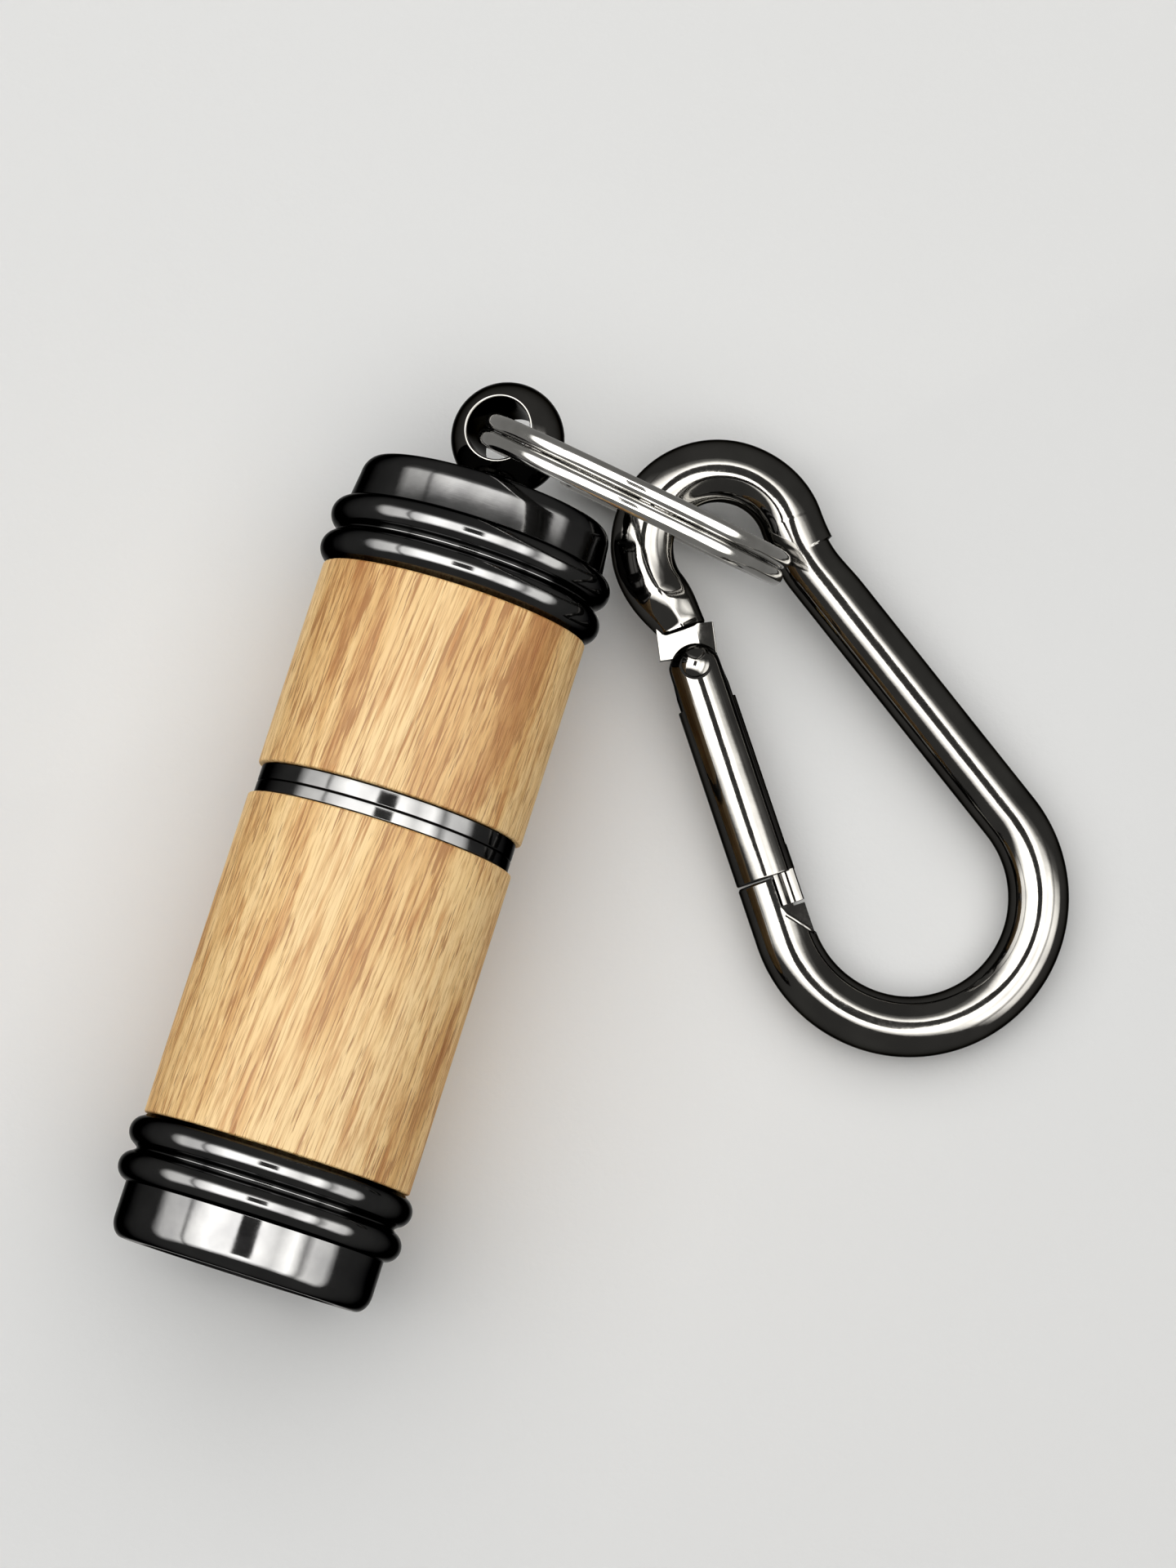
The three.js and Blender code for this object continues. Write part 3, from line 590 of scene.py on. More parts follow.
turned_piece("head_cap_form", [
    *beads(HEAD_WOOD[0], -1),
    *soft_edge(BAND, 0, 1),
    (MOUTH_R + MOUTH_CHAMFER[0], 0),
    (MOUTH_R, MOUTH_CHAMFER[1]),
    (MOUTH_R, LENS_SEAT),
    (BORE, LENS_SEAT),
    (BORE, HEAD_WOOD[0] - GAP),
], "head_half", "dark_chrome", black_turned, rounding=0.1, **SMOOTH_LATHE)
turned_piece("tail_cap_form", [
    *beads(TAIL_WOOD[1], 1),
    *soft_edge(TAIL_BAND_END, BODY_LENGTH, -1),
    (STEM_BORE, BODY_LENGTH),
    (STEM_BORE, BODY_LENGTH - END_WALL),
    (BORE, BODY_LENGTH - END_WALL),
    (BORE, TAIL_WOOD[1] + GAP),
], "tail_half", "dark_chrome", black_turned, rounding=0.1, **SMOOTH_LATHE)


def tube(radii, span):
    """Profile of a plain tube."""
    inner, outer = radii
    start, end = span
    return [(inner, start), (outer, start), (outer, end), (inner, end)]


for side, wood_span in (("head", HEAD_WOOD), ("tail", TAIL_WOOD)):
    turned_piece(f"{side}_barrel_form", tube((BORE, WOOD_R), wood_span),
                 f"{side}_half", "wood", wood, rounding=WOOD_EDGE, **SMOOTH_LATHE)
for side, liner_span in (("head", HEAD_LINER), ("tail", TAIL_LINER)):
    turned_piece(f"{side}_tube_form", tube(LINER, liner_span), f"{side}_half", "brass", brass)


THREAD_PITCH = 1.0
THREAD_RUN_OUT = 0.5
MALE_R = 7.1
FEMALE_R = 7.35
MALE_END = 41
FEMALE_END = 43
BAND_RING = 9.85
SPIGOT_R = 7.9
SPIGOT_LENGTH = 5
COUPLER_BORE = 6.5
O_RING_SEAT = 6.85  # radius of the head half's groove under the O-ring
O_RING_COVER = 7.83  # radius of the tail half's wall around the O-ring


def threaded(profile, first, last, base, depth):
    """A lathe piece that carries a right-hand thread on its wall at radius base."""
    bm = lathe(profile, segments=128, rounding=0.1)
    for v in bm.verts:
        radius = math.hypot(v.co.x, v.co.z)
        if abs(radius - base) > 0.02 or not first <= v.co.y <= last:
            continue
        turns = math.atan2(v.co.z, v.co.x) / (2 * math.pi)
        phase = (v.co.y / THREAD_PITCH + turns) % 1.0
        ridge = min(1.0, max(0.0, 1.6 - 4.4 * abs(phase - 0.5)))
        fade = min(1.0, (v.co.y - first) / THREAD_RUN_OUT, (last - v.co.y) / THREAD_RUN_OUT)
        scale = (radius - depth * (1 - ridge) * fade) / radius
        v.co.x *= scale
        v.co.z *= scale
    return bm


def many(first, last, radius, step=0.08):
    """Closely spaced points along a straight wall, for the thread."""
    count = round(abs(last - first) / step)
    return [(radius, first + (last - first) * i / count) for i in range(count + 1)]


ring_start = HEAD_WOOD[1] + GAP
obj = to_object("head_coupler_form", threaded([
    (COUPLER_BORE, ring_start - SPIGOT_LENGTH),
    (SPIGOT_R, ring_start - SPIGOT_LENGTH),
    (SPIGOT_R, ring_start),
    (BAND_RING, ring_start),
    (BAND_RING, PARTING),
    (O_RING_SEAT, PARTING),
    (O_RING_SEAT, PARTING + 1),
    (MALE_R, PARTING + 1.05),
    *many(PARTING + 1.2, MALE_END - 0.2, MALE_R),
    (MALE_R - 0.15, MALE_END),
    (COUPLER_BORE, MALE_END),
], PARTING + 1.1, MALE_END - 0.1, MALE_R, 0.42), BODY)
finished(obj, "head_half", black_turned, ["head_coupler"], sharp=50)
ring_end = TAIL_WOOD[0] - GAP
obj = to_object("tail_coupler_form", threaded([
    (O_RING_COVER, PARTING + GAP),
    (BAND_RING, PARTING + GAP),
    (BAND_RING, ring_end),
    (SPIGOT_R, ring_end),
    (SPIGOT_R, FEMALE_END),
    *many(FEMALE_END, PARTING + 1.1, FEMALE_R),
    (O_RING_COVER, PARTING + 0.95),
], PARTING + 1.2, FEMALE_END - 0.2, FEMALE_R, -0.3), BODY)
finished(obj, "tail_half", black_turned, ["tail_coupler"], sharp=50)

# ----------------------------------------------------------------------------------------------
# Optics, electrics and cells: each profile is (radius, station)
# ----------------------------------------------------------------------------------------------


def round_section(radius, station, wire):
    return arc(radius, station, wire, 0, 345, 23)


turned_piece("coupler_o_ring_form", round_section(7.35, PARTING + 0.5, 0.38),
             "head_half", "rubber", rubber, rounding=0)
turned_piece("lens_gasket_form", round_section(7.9, 2.95, 0.3),
             "head_half", "rubber", rubber, rounding=0)
turned_piece("lens_form", [
    (0, 0.45),
    *[(r, 0.45 + 0.011 * r * r) for r in (1, 2, 3, 4, 5, 6)],
    (6.6, 1.05),
    (8.4, 1.05),
    (8.4, 2.6),
    (0, 2.6),
], "head_half", "clear_lens", clear_lens, rounding=0.06)


BOWL_APEX = 10.15
BOWL_SPREAD = 8.0  # four times the focal length
BOWL_WALL = 0.7
BOWL_BACK = 9.2
BOWL_FRONT = 3.3


def bowl(station, wall=0.0):
    """Radius of the parabolic reflector at a station."""
    return math.sqrt(BOWL_SPREAD * (BOWL_APEX - station)) + wall


bowl_stations = [BOWL_BACK + (BOWL_FRONT - BOWL_BACK) * i / 40 for i in range(41)]
turned_piece("reflector_form", [
    *[(bowl(station), station) for station in bowl_stations],
    (8.3, BOWL_FRONT),
    (8.3, 4.0),
    (7.9, 4.0),
    (7.8, 5.0),
    (bowl(7, BOWL_WALL), 7),
    (bowl(BOWL_BACK, BOWL_WALL), BOWL_BACK),
], "head_half", "mirror_coat", mirror_coat, rounding=0.05)
LED_R = 2.5
INSERT_R = 7.8  # parts that slide into the liner
dome = arc(0, 8.4, LED_R, -90, 0, 20)
turned_piece("led_form", [
    (0, dome[0][1]),
    *dome[1:],
    (LED_R, 12.3),
    (2.9, 12.3),
    (2.9, 13.3),
    (0, 13.3),
], "head_half", "led_body", clear_epoxy, ["led"], segments=96)
turned_piece("led_die_cup", [
    (0, 9.6),
    (0.45, 9.6),
    (0.95, 9.1),
    (1.1, 9.1),
    (1.1, 12.6),
    (0, 12.6),
], "head_half", "cell_steel", cell_steel, ["led"], segments=64)
turned_piece("led_phosphor", [
    (0, 9.1),
    (0.45, 9.16),
    (0.86, 9.3),
    (0.5, 9.55),
    (0, 9.58),
], "head_half", "led_body", phosphor, ["led"], segments=64, rounding=0)
turned_piece("led_holder_form", [
    (2.75, 9.5),
    (INSERT_R, 9.5),
    (INSERT_R, 13.35),
    (3.1, 13.35),
    (3.1, 12.25),
    (2.75, 12.25),
], "head_half", "white_plastic", white_plastic)
turned_piece("circuit_board_form", [(0, 13.4), (INSERT_R, 13.4), (INSERT_R, 14.9), (0, 14.9)],
             "head_half", "board", solder_mask)
turned_piece("board_contact_form", [
    (0, 14.95),
    (2.2, 14.95),
    (2.2, 15.55),
    (1.3, 15.95),
    (1.3, 17.65),
    (1, 17.95),
    (0, 17.95),
], "head_half", "brass", brass, segments=64)
half_resistor = [(0.65, 0.5), (0.8, 0.8), (0.8, 1.2), (0.6, 1.5), (0, 1.5)]
resistor = lathe(
    [(radius, -along) for radius, along in reversed(half_resistor)] + half_resistor,
    segments=48, rounding=0.2, axis="Z",
)
obj = to_object("resistor_form", resistor, BODY @ Matrix.Translation((4.2, 16.0, 0)))
finished(obj, "head_half", resistor_body, ["resistor"])
turned_piece("battery_sleeve_form", [
    (6.0, 15.1),
    (INSERT_R, 15.1),
    (INSERT_R, 16.1),
    (6.4, 16.1),
    (6.4, 34.6),
    (6.0, 34.6),
], "head_half", "white_plastic", white_plastic)
CELL_START = 18.0
CELL_PITCH = 5.4
CELL_LENGTH = 5.35
CELL_R = 5.8
CAN_R = 5.1  # of the raised negative face
for i in range(3):
    start = CELL_START + CELL_PITCH * i
    end = start + CELL_LENGTH
    turned_piece(f"button_cell_{i + 1}_form", [
        (0, start),
        (CELL_R - 0.2, start),
        (CELL_R, start + 0.2),
        (CELL_R, end - 0.6),
        (CELL_R - 0.35, end - 0.42),
        (CAN_R, end - 0.5),
        (CAN_R, end),
        (0, end),
    ], "battery_stack", "cell_steel", cell_steel, rounding=0.12, segments=128)
turned_piece("contact_plug_form", [
    (0, 39.5),
    (1.6, 39.5),
    (1.6, 41),
    (4.2, 41),
    (4.2, 43.2),
    (7.85, 43.2),
    (7.85, 56.9),
    (2.5, 56.9),
    (2.5, 46),
    (0, 46),
], "tail_half", "brass", brass, rounding=0.15)


def swept_ring(centres, across, along, section):
    """Rings of points: a section point (u, v) goes u times across and v times along."""
    return [
        [c + a * u + b * v for u, v in section]
        for c, a, b in zip(centres, across, along)
    ]


def coil(name, matrix, start_r, end_r, start, end, turns, wire, axis="Y"):
    """A round-wire coil spring, straight or conical."""
    steps = turns * 48
    centres, across, along = [], [], []
    for i in range(steps + 1):
        t = i / steps
        a = 2 * math.pi * turns * t
        radius = start_r + (end_r - start_r) * t
        centres.append(Vector(spun(radius, start + (end - start) * t, a, axis)))
        across.append(Vector(spun(1, 0, a, axis)))
        along.append(Vector(spun(0, 1, a, axis)))
    section = arc(0, 0, wire, 0, 337.5, 15)
    return to_object(name, grid(swept_ring(centres, across, along, section)), matrix)


obj = coil("contact_spring_form", BODY, 3.4, 2.2, 40.65, 34.65, 4, 0.3)
finished(obj, "tail_half", spring_steel, ["contact_spring"])

# ----------------------------------------------------------------------------------------------
# Swivel eye
# ----------------------------------------------------------------------------------------------

BALL = 4.25
BALL_CENTRE = 65.25
HOLE = 2.38
HOLE_TURN = -12
LIP = 0.13  # radius of the polished lip of the hole
STEM_R = 1.5
STEM_START = 57.3
NECK_R = 2.25
NECK_END = BALL_CENTRE - 3.05
CLIP_GROOVE = (57.9, 58.5)
CLIP_GROOVE_R = 1.1
CLIP = (57.98, 58.42)


def eye_ball():
    """The ball, revolved about the axis of its hole, with a rounded lip at each mouth."""
    lip_r = HOLE + LIP
    lip_z = math.sqrt((BALL - LIP) ** 2 - lip_r ** 2)
    edge = math.degrees(math.atan2(lip_z, lip_r))
    profile = arc(0, 0, BALL, -edge, edge, 72)[1:-1]
    profile += arc(lip_r, lip_z, LIP, edge, 180, 12)
    profile += arc(lip_r, -lip_z, LIP, 180, 360 - edge, 12)
    ball = lathe(profile, segments=160, rounding=0, axis="Z")
    ball.transform(Matrix.Translation((0, BALL_CENTRE, 0)) @ turn(HOLE_TURN, "Y"))
    return ball


stem = lathe([
    (0, STEM_START),
    (STEM_R, STEM_START),
    (STEM_R, CLIP_GROOVE[0]),
    (CLIP_GROOVE_R, CLIP_GROOVE[0]),
    (CLIP_GROOVE_R, CLIP_GROOVE[1]),
    (STEM_R, CLIP_GROOVE[1]),
    (STEM_R, BODY_LENGTH + 0.15),
    (NECK_R + 0.2, BODY_LENGTH + 0.15),
    (NECK_R + 0.2, BODY_LENGTH + 0.35),
    (NECK_R, BODY_LENGTH + 0.6),
    (NECK_R, NECK_END),
    (0, NECK_END),
], segments=96, rounding=0.06)
obj = combined("swivel_eye_form", BODY, eye_ball(), ("UNION", stem))
finished(obj, "swivel", black_nickel, ["swivel_eye"], sharp=40)
clip = lathe(tube((1.2, 3.0), CLIP), segments=96, rounding=0.06)
clip_mouth = block((0, 57, -0.9), (4, 59, 0.9))
obj = combined("swivel_clip_form", BODY, clip, ("DIFFERENCE", clip_mouth))
finished(obj, "swivel", spring_steel, ["swivel_clip"])

# ----------------------------------------------------------------------------------------------
# Split ring
# ----------------------------------------------------------------------------------------------


RING_OUTER = 12.5
FLAT_HALF_WIDTH = 0.95  # half sizes of the flattened wire
FLAT_HALF_HEIGHT = 0.64
FLAT_ROUNDING = 0.58
COIL_SPACING = 1.34
CROSSOVER = 28.0  # degrees in which the wire steps from one coil to the other
RING_START = 238  # angle of the first cut end
RING_CLEARANCE = 4  # degrees between each cut end and the step
CUT_END_SCALE = 0.86


def split_ring():
    """Rings of points along the two coils, each with a rounded rectangular section."""
    radius = RING_OUTER - FLAT_HALF_WIDTH
    total = 720 - CROSSOVER - RING_CLEARANCE
    count = 640
    centres, across, along = [], [], []
    for i in range(count + 1):
        turned = total * i / count
        side = ramped(turned, 360 - CROSSOVER, 360) - 0.5
        a = math.radians(RING_START + turned)
        centres.append(Vector((radius * math.cos(a), side * COIL_SPACING, radius * math.sin(a))))
        across.append(Vector((math.cos(a), 0, math.sin(a))))
        along.append(Vector((0, 1, 0)))
    # eased() leaves corners on the axis sharp, so the section is rounded well away from it.
    away = 10
    w, h = FLAT_HALF_WIDTH, FLAT_HALF_HEIGHT
    corners = [(away + w, -h), (away + w, h), (away - w, h), (away - w, -h)]
    section = [(u - away, v) for u, v in eased(corners, FLAT_ROUNDING, 9)]
    rings = swept_ring(centres, across, along, section)
    # The cut ends are slightly rounded over.
    for last in (0, -1):
        middle = sum(rings[last], Vector()) / len(section)
        rings[last] = [middle + (p - middle) * CUT_END_SCALE for p in rings[last]]
    return rings


obj = to_object("split_ring_form", grid(split_ring()), RING)
finished(obj, "ring", bright_nickel, ["split_ring"], sharp=50)

# ----------------------------------------------------------------------------------------------
# Snap hook
# ----------------------------------------------------------------------------------------------


def bezier(a, b, c, t):
    return a * (1 - t) ** 2 + b * (2 * t * (1 - t)) + c * t ** 2


def neck_corner():
    """Where the straight side meets the small eye's tangent, and where that touches the eye."""
    a = math.radians(NECK_ANGLE)
    start = Vector((BEND_DISTANCE + SMALL_BEND * math.cos(a), SMALL_BEND * math.sin(a)))
    slope = -math.cos(a) / math.sin(a)
    side = -math.tan(math.radians(SIDE_ANGLE))
    first = on_side(0)
    x = (start.y - slope * start.x - first.y + side * first.x) / (side - slope)
    return Vector((x, first.y + side * (x - first.x))), start


NOSE = GATE_PIVOT - GATE_LENGTH - 0.15
NECK_START = 23.6  # along the spine, where it bends towards the small eye
STEP_SHARE = 0.45  # share of that bend where the outer side steps up to the eye's thicker wire
PINCH = 0.12  # how far the outer side draws in before the step
SWELL = 0.14  # how far it stands out after the step
FLAT_START = 0.8  # share of the eye where the wire starts to turn thin and faceted
SHOULDER = (3.0, 2.8)  # mm from the rivet: the neck's bend ends, and the wire meets the tongue
# Half sizes outward, inward and across, and how faceted the wire is, at three places: where the
# neck leaves the eye, where its bend ends, and where the wire meets the tongue.
NECK_SECTIONS = [(2.28, 2.28, 2.28, 0.3), (1.88, 1.82, 1.48, 0.6), (1.73, 1.67, 1.18, 0.6)]
NOSE_TRIM = 0.12  # breaks the sharp edge of the nose


def hook_path():
    """(point, zone, share) along the wire's centre line, from the nose round to the tongue."""
    corner, eye = neck_corner()
    mirrored = Vector((1, -1))
    out = []

    def straight(zone, a, b, spacing=0.16):
        count = max(2, round((b - a).length / spacing))
        out.extend((a.lerp(b, i / count), zone, i / count) for i in range(count))

    def bend(zone, a, b, c, count):
        out.extend((bezier(a, b, c, i / count), zone, i / count) for i in range(count))

    def around(zone, centre_x, radius, first, last, count):
        points = arc(centre_x, 0, radius, first, last, count)[:-1]
        out.extend((Vector(p), zone, i / count) for i, p in enumerate(points))

    straight("nose", on_side(NOSE), on_side(0))
    around("bend", 0, BIG_BEND, 90 - SIDE_ANGLE, 270 + SIDE_ANGLE, 210)
    straight("spine", on_side(0, -1), on_side(NECK_START, -1))
    bend("kink", on_side(NECK_START, -1), corner * mirrored, eye * mirrored, 60)
    around("eye", BEND_DISTANCE, SMALL_BEND, -NECK_ANGLE, NECK_ANGLE, 150)
    tail_start, tail_end = (on_side(GATE_PIVOT + distance) for distance in SHOULDER)
    bend("neck", eye, corner, tail_start, 36)
    straight("tail", tail_start, tail_end, 0.08)
    out.append((tail_end, "tail", 1.0))
    return out


def hook_section(zone, share):
    """Half sizes of the wire: outward, inward, across; and how faceted it is."""
    if zone in ("nose", "bend"):
        return WIRE_R, WIRE_R, WIRE_R, 0
    if zone == "spine":
        return WIRE_R - PINCH * ramped(share, 0.88, 1.0), WIRE_R, WIRE_R, 0
    if zone == "kink":
        after = ramped(share, STEP_SHARE - 0.015, STEP_SHARE + 0.015)
        outer = (WIRE_R - PINCH) * (1 - after) + (EYE_WIRE_R + SWELL) * after
        grown = WIRE_R + 0.1 * ramped(share, STEP_SHARE - 0.1, 1)
        return outer, WIRE_R, grown, 0
    if zone == "eye":
        swell = SWELL * (1 - ramped(share, 0, 0.24))
        flat = ramped(share, FLAT_START, 1)
        half = EYE_WIRE_R - 0.12 * flat
        # The inner side grows later than the outer one, which leaves room for the ring's swing.
        inner = half - (EYE_WIRE_R - WIRE_R) * (1 - ramped(share, 0, 0.35))
        return half + swell, inner, half, flat * 0.3
    leaving, shoulder, tongue = NECK_SECTIONS
    if zone == "neck":
        t = ramped(share, 0, 0.9)
        return tuple(a + (b - a) * t for a, b in zip(leaving, shoulder))
    return tuple(a + (b - a) * share for a, b in zip(shoulder, tongue))


def hook_wire():
    """The hook's wire, whose section changes from round to flattened and faceted at the neck."""
    path = hook_path()
    sides = 72
    rings = []
    for i, (point, zone, share) in enumerate(path):
        before = path[max(0, i - 1)][0]
        after = path[min(len(path) - 1, i + 1)][0]
        tangent = (after - before).normalized()
        outward = Vector((tangent.y, -tangent.x, 0))
        out_r, in_r, across_r, facets = hook_section(zone, share)
        trim = NOSE_TRIM if i == 0 else 0
        ring = []
        for k in range(sides):
            a = 2 * math.pi * k / sides
            # An octagon whose corners stand a little past the round wire.
            octagon = math.cos(math.pi / 8) / math.cos(a % (math.pi / 4) - math.pi / 8) * 1.03
            scale = 1 + facets * (octagon - 1)
            u = ((out_r if math.cos(a) > 0 else in_r) - trim) * scale * math.cos(a)
            v = (across_r - trim) * scale * math.sin(a)
            ring.append(Vector((point.x, point.y, v)) + outward * u)
        rings.append(ring)
    return grid(rings)


TO_GATE = Matrix.Translation((RIVET_POINT.x, RIVET_POINT.y, 0)) @ turn(180 - SIDE_ANGLE, "Z")


def in_hook(bm):
    """Moves a shape drawn in the gate's frame into the hook's frame."""
    bm.transform(TO_GATE)
    return bm


def rod(radius, low, high, axis, rounding=0.0, segments=72):
    """A solid cylinder along an axis of the local frame."""
    return lathe([(0, low), (radius, low), (radius, high), (0, high)], segments, rounding, axis)


# All of these are in the gate's frame: x runs from the rivet to the nose, y to the inner side.
TAB_END = GATE_LENGTH + 2.35
LATCH_END = TAB_END + 0.2  # of the seat that the tab drops into
SEAT_SIDE = 0.2
NOTCH_TIP = (LATCH_END + 0.4, 0.4)
NOTCH_MOUTH = (LATCH_END + 3.2, 2.8)
LIP_R = 0.2  # of the raised lip beside the notch
LIP_SINK = 0.07
LIP_OFFSET = 0.12  # from the notch's edge
LIP_SHARE = 0.72  # the lip ends where the notch runs off the round wire
SEAT_FLOOR = -1.75
NOTCH_FLOOR = -0.5
TONGUE_R = 1.6
TONGUE_HALF = 0.98
RIVET_HOLE = 0.95
BLOCK_SPAN = (-3.1, -0.7)
BLOCK_TURN = -11


def tongue_block():
    """The flat block that the gate's fork straddles; its faces slope a little to the outer side."""
    side = [(-2.15, 0.62), (2.15, 1.12)]
    outline = eased([*side, *[(y, -z) for y, z in reversed(side)]], 0.08, 3)
    bm = grid([[(x, y, z) for y, z in outline] for x in BLOCK_SPAN])
    middle = Matrix.Translation((sum(BLOCK_SPAN) / 2, 0, 0))
    bm.transform(middle @ turn(BLOCK_TURN, "Z") @ middle.inverted())
    return bm


def notch_lip():
    """The raised rounded lip along the far edge of the V-notch, lying on the round wire."""
    start, end = Vector(NOTCH_TIP), Vector(NOTCH_MOUTH)
    centres, outward, aside = [], [], []
    for i in range(29):
        p = start.lerp(end, LIP_SHARE * i / 28) + Vector((LIP_OFFSET, 0))
        height = math.sqrt(WIRE_R ** 2 - p.y ** 2)
        up = Vector((0, p.y, height)).normalized()
        centres.append(Vector((p.x, p.y, height)) - up * LIP_SINK)
        outward.append(up)
        aside.append(up.cross(Vector((end.x - start.x, end.y - start.y, 0))).normalized())
    return grid(swept_ring(centres, outward, aside, round_section(0, 0, LIP_R)))


seat = block((GATE_LENGTH - 1, SEAT_SIDE, SEAT_FLOOR), (LATCH_END, 4, 3))
notch_plan = [
    (LATCH_END - 0.1, SEAT_SIDE + 0.01),
    NOTCH_TIP,
    NOTCH_MOUTH,
    (LATCH_END - 0.1, 3),
]
obj = combined(
    "carabiner_hook_form", HOOK, hook_wire(),
    ("UNION", in_hook(tongue_block())),
    ("UNION", in_hook(rod(TONGUE_R, -TONGUE_HALF, TONGUE_HALF, "Z"))),
    ("DIFFERENCE", in_hook(rod(RIVET_HOLE, -4, 4, "Z"))),
    ("DIFFERENCE", in_hook(seat)),
    ("DIFFERENCE", in_hook(prism(notch_plan, NOTCH_FLOOR, 3.1))),
    ("UNION", in_hook(notch_lip())),
)
finished(obj, "carabiner", black_nickel, ["carabiner_hook"], sharp=33)

RIVET_TOP = 2.42
RIVET_HEAD = 1.05
RIVET_CROWN = 0.36
RIVET_SHANK = 0.8
dome_head = [
    (r, RIVET_TOP - RIVET_CROWN * (r / RIVET_HEAD) ** 2)
    for r in (0.2, 0.4, 0.6, 0.75, 0.9, 1.0, RIVET_HEAD)
]
rivet = lathe([
    (0, -RIVET_TOP),
    *[(r, -z) for r, z in dome_head],
    (RIVET_SHANK, -2.0),
    (RIVET_SHANK, 2.0),
    *dome_head[::-1],
    (0, RIVET_TOP),
], segments=64, rounding=0.05, axis="Z")
obj = to_object("gate_rivet_form", rivet, GATE)
finished(obj, "carabiner", black_nickel, ["gate_rivet"])


def gate_outline():
    """Plan of the gate: a round end at the rivet that widens to the full wire."""
    waist = [(0.9, 1.87), (1.8, 1.96), (2.7, 2.12), (3.5, 2.4), (GATE_LENGTH + 0.5, 2.4)]
    return arc(0, 0, 1.85, 90, 270, 36) + [(x, -y) for x, y in waist] + waist[::-1]


def latch_tab():
    """The tongue of the gate that rests in the nose, with a sunken strip along each flat side."""
    upper = [
        (0.4, 1.68),
        (0.78, 1.6),
        (1.1, 1.28),
        (1.35, 1.24),
        (1.5, 1.46),
        (2.05, 1.36),
        (2.15, 1.25),
    ]
    outline = eased([*upper, *[(y, -z) for y, z in reversed(upper)]], 0.06, 3)
    return grid([[(x, y, z) for y, z in outline] for x in (GATE_LENGTH - 0.1, TAB_END)])


FORK_HALF = 1.15  # half the gap between the two cheeks
FORK_END = 3.1
SPRING_BORE = 1.3
SPRING_BORE_END = 13.6
RECESS_R = 1.25
RECESS_FLOOR = 1.85
SPRING_SLOT = ((3.02, 0.9, -0.7), (15, 3, 0.7))  # opens the spring's bore to the inner side
# The rivet's end of the gate is a dome, and the other end is flat.
gate_profile = [*arc(0, 0.4, WIRE_R, -90, 0, 24), (WIRE_R, GATE_LENGTH), (0, GATE_LENGTH)]
obj = combined(
    "gate_form", GATE, lathe(gate_profile, 96, 0.14, "X"),
    ("INTERSECT", prism(gate_outline(), -2.5, 2.5)),
    ("UNION", latch_tab()),
    ("DIFFERENCE", block((-3, -3, -FORK_HALF), (FORK_END, 3, FORK_HALF))),
    ("DIFFERENCE", rod(SPRING_BORE, 3, SPRING_BORE_END, "X", 0, 48)),
    ("DIFFERENCE", block(*SPRING_SLOT)),
    ("DIFFERENCE", rod(RIVET_HOLE, -4, 4, "Z")),
    ("DIFFERENCE", rod(RECESS_R, RECESS_FLOOR, 4, "Z")),
    ("DIFFERENCE", rod(RECESS_R, -4, -RECESS_FLOOR, "Z")),
)
finished(obj, "gate_body", black_nickel, ["gate"], sharp=33)
plunger_head = rod(1.0, 1.65, 4.4, "X", 0.12)
plunger_pin = rod(0.45, 4.2, 6.8, "X", 0.06)
obj = combined("gate_plunger_form", GATE, plunger_head, ("UNION", plunger_pin))
finished(obj, "plunger", brass, ["gate_plunger"])
# The spring runs from just past the plunger's head to near the far end of the gate's bore.
SPRING_START = 4.75
SPRING_END = 13.25
SPRING_R = 0.85
SPRING_WIRE = 0.2
SPRING_TURNS = 6
obj = coil("gate_spring_form", GATE, SPRING_R, SPRING_R, SPRING_START, SPRING_END,
           SPRING_TURNS, SPRING_WIRE, "X")
finished(obj, "gate_body", spring_steel, ["gate_spring"])
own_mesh(obj)

# ----------------------------------------------------------------------------------------------
# Floor and studio light
# ----------------------------------------------------------------------------------------------

FLOOR_HALF = 2000
floor_slab = block((-FLOOR_HALF, -FLOOR_HALF, -2), (FLOOR_HALF, FLOOR_HALF, 0))
floor = to_object("floor", floor_slab, Matrix.Scale(MM, 4))
n = Material("floor_paper")
n.bump(n.noise(n.mm, 1.2, 4, 0.6), 0.25, 0.12)
paper = n.set(Base_Color=(0.74, 0.74, 0.73), Roughness=0.75, Specular_IOR_Level=0.2)
floor.data.materials.append(paper)
floor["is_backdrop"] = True
floor.visible_glossy = False

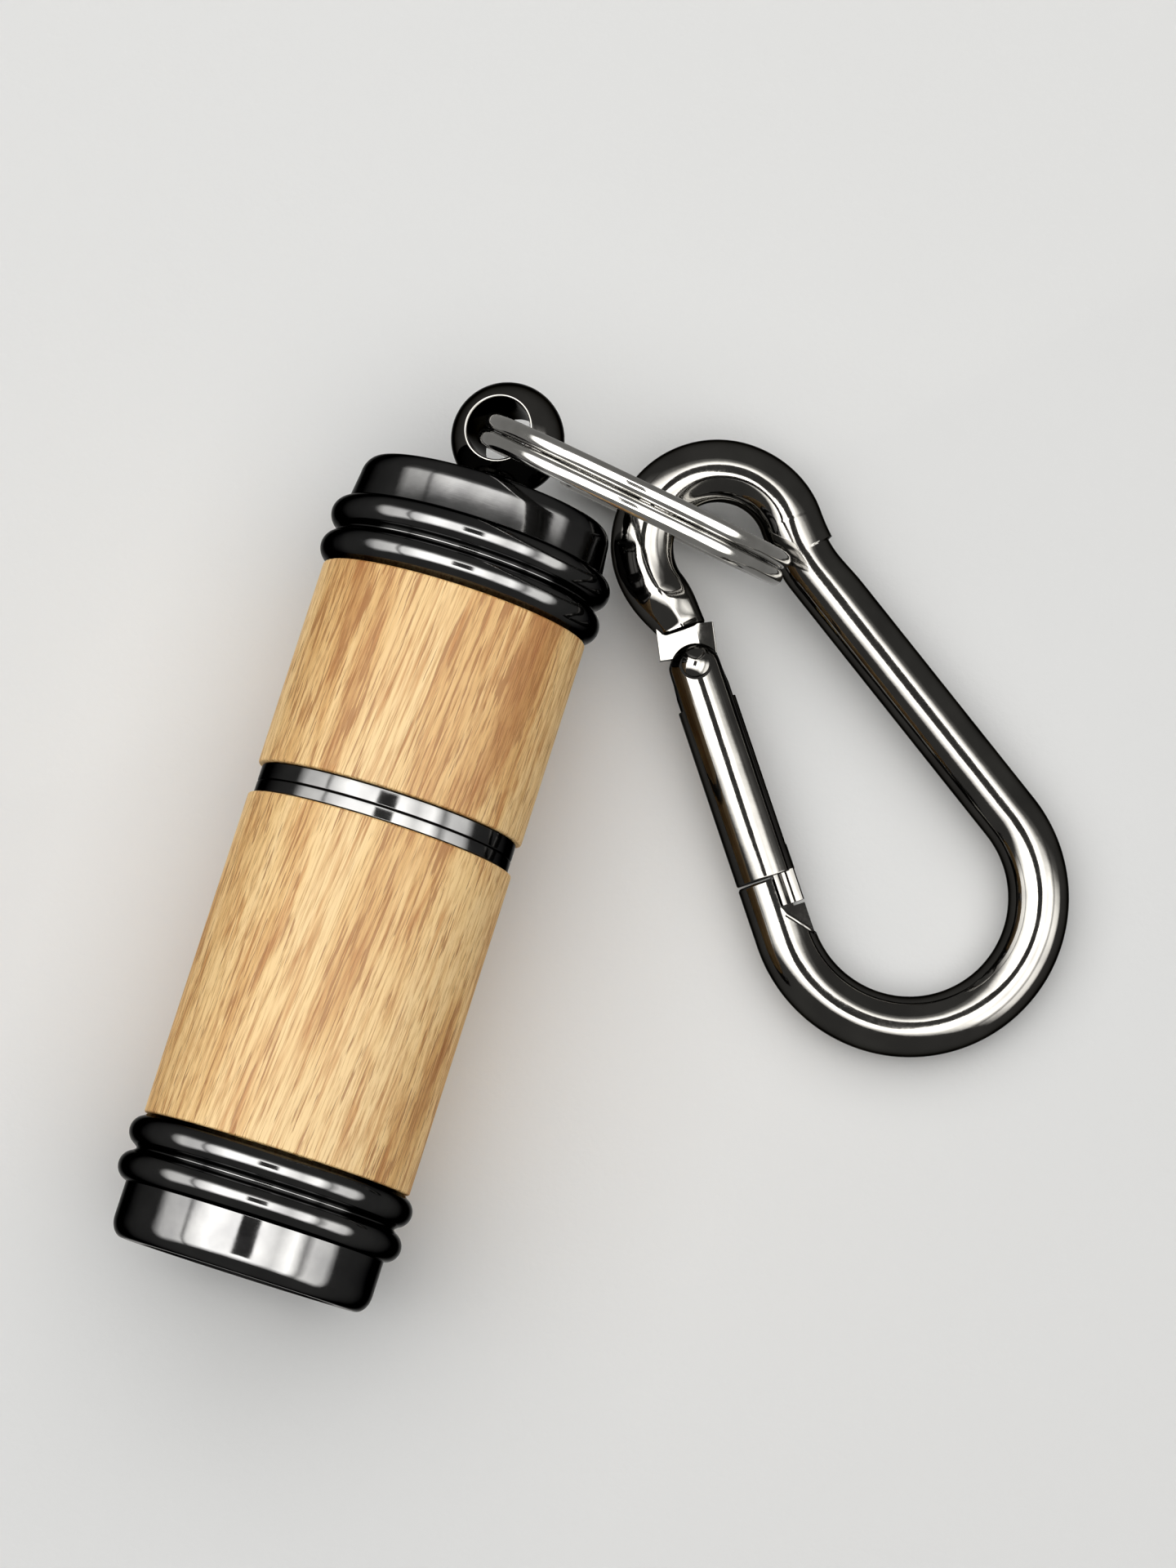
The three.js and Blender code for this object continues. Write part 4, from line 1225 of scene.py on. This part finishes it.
# The world is a wide soft ceiling that only polished surfaces see. Its brightness changes in
# bands across the flashlight's axis, with one dark gap overhead. Angles are in degrees of lean
# along the axis.
CEILING = 21.0
ROOM = 0.3
REACH = (22, 36)
TAIL_REACH = (12, 27)  # past the tail cap the ceiling falls off sooner than past the lens cap
GAP_REACH = (13, 16)
world = bpy.data.worlds.new("studio")
bpy.context.scene.world = world
n = Nodes(world)
towards = n.add("ShaderNodeTexCoord").outputs["Generated"]
direction = n.add("ShaderNodeSeparateXYZ", {"Vector": towards}).outputs
tilt = n.maths("ARCTAN2", direction["X"], direction["Z"])
across = n.between(tilt, -math.pi / 2, math.pi / 2, 0, 1)
bands = n.ramp(across, [
    (0.02, 0.0),
    (0.08, 0.35),
    (0.19, 0.45),
    (0.205, 0.08),
    (0.225, 0.50),
    (0.33, 1.0),
    (0.42, 0.85),
    (0.50, 1.0),
    (0.58, 0.9),
    (0.66, 0.55),
    (0.74, 0.9),
    (0.80, 0.15),
    (0.84, 0.50),
    (0.93, 0.40),
    (0.98, 0.0),
])
lean = n.maths("ARCSINE", direction["Y"], 0.0)
slant = n.maths("ABSOLUTE", lean, 0.0)


def falling(value, span, last=0.0):
    """1 below the span, given in degrees, and down to last above it."""
    return n.between(value, math.radians(span[0]), math.radians(span[1]), 1, last)


reach = n.maths("MULTIPLY", falling(slant, REACH), falling(lean, TAIL_REACH, 0.1))
gap_across = n.ramp(across, [(0.455, 0.0), (0.465, 1.0), (0.55, 1.0), (0.56, 0.0)])
gap = n.maths("MULTIPLY", gap_across, falling(slant, GAP_REACH))
bands = n.maths("MULTIPLY", bands, n.maths("SUBTRACT", 1.0, gap))
upper = n.between(direction["Z"], 0.0, 0.06, 0, 1)
sky = n.maths("MULTIPLY", n.maths("MULTIPLY", bands, reach), upper)
strength = n.maths("ADD", n.maths("MULTIPLY", sky, CEILING), ROOM)
background = n.tree.nodes["Background"]
background.inputs["Color"].default_value = (1.0, 0.985, 0.95, 1)
n.tree.links.new(strength, background.inputs["Strength"])
world.cycles_visibility.diffuse = False
bpy.context.scene.view_settings.view_transform = "Standard"

# The diffuse light is one large soft box overhead, in metres and watts.
FILL_SIZE = 1.3
FILL_POWER = 8.0
FILL_OFFSET = Vector((-0.15, 0.2))
FILL_HEIGHT = 0.6
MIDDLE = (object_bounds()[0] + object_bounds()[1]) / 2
fill = bpy.data.objects.new("fill", bpy.data.lights.new("fill", "AREA"))
fill.data.shape = "SQUARE"
fill.data.size = FILL_SIZE
fill.data.energy = FILL_POWER
fill.location = (MIDDLE.x + FILL_OFFSET.x, MIDDLE.y + FILL_OFFSET.y, FILL_HEIGHT)
fill.visible_glossy = False
bpy.context.collection.objects.link(fill)
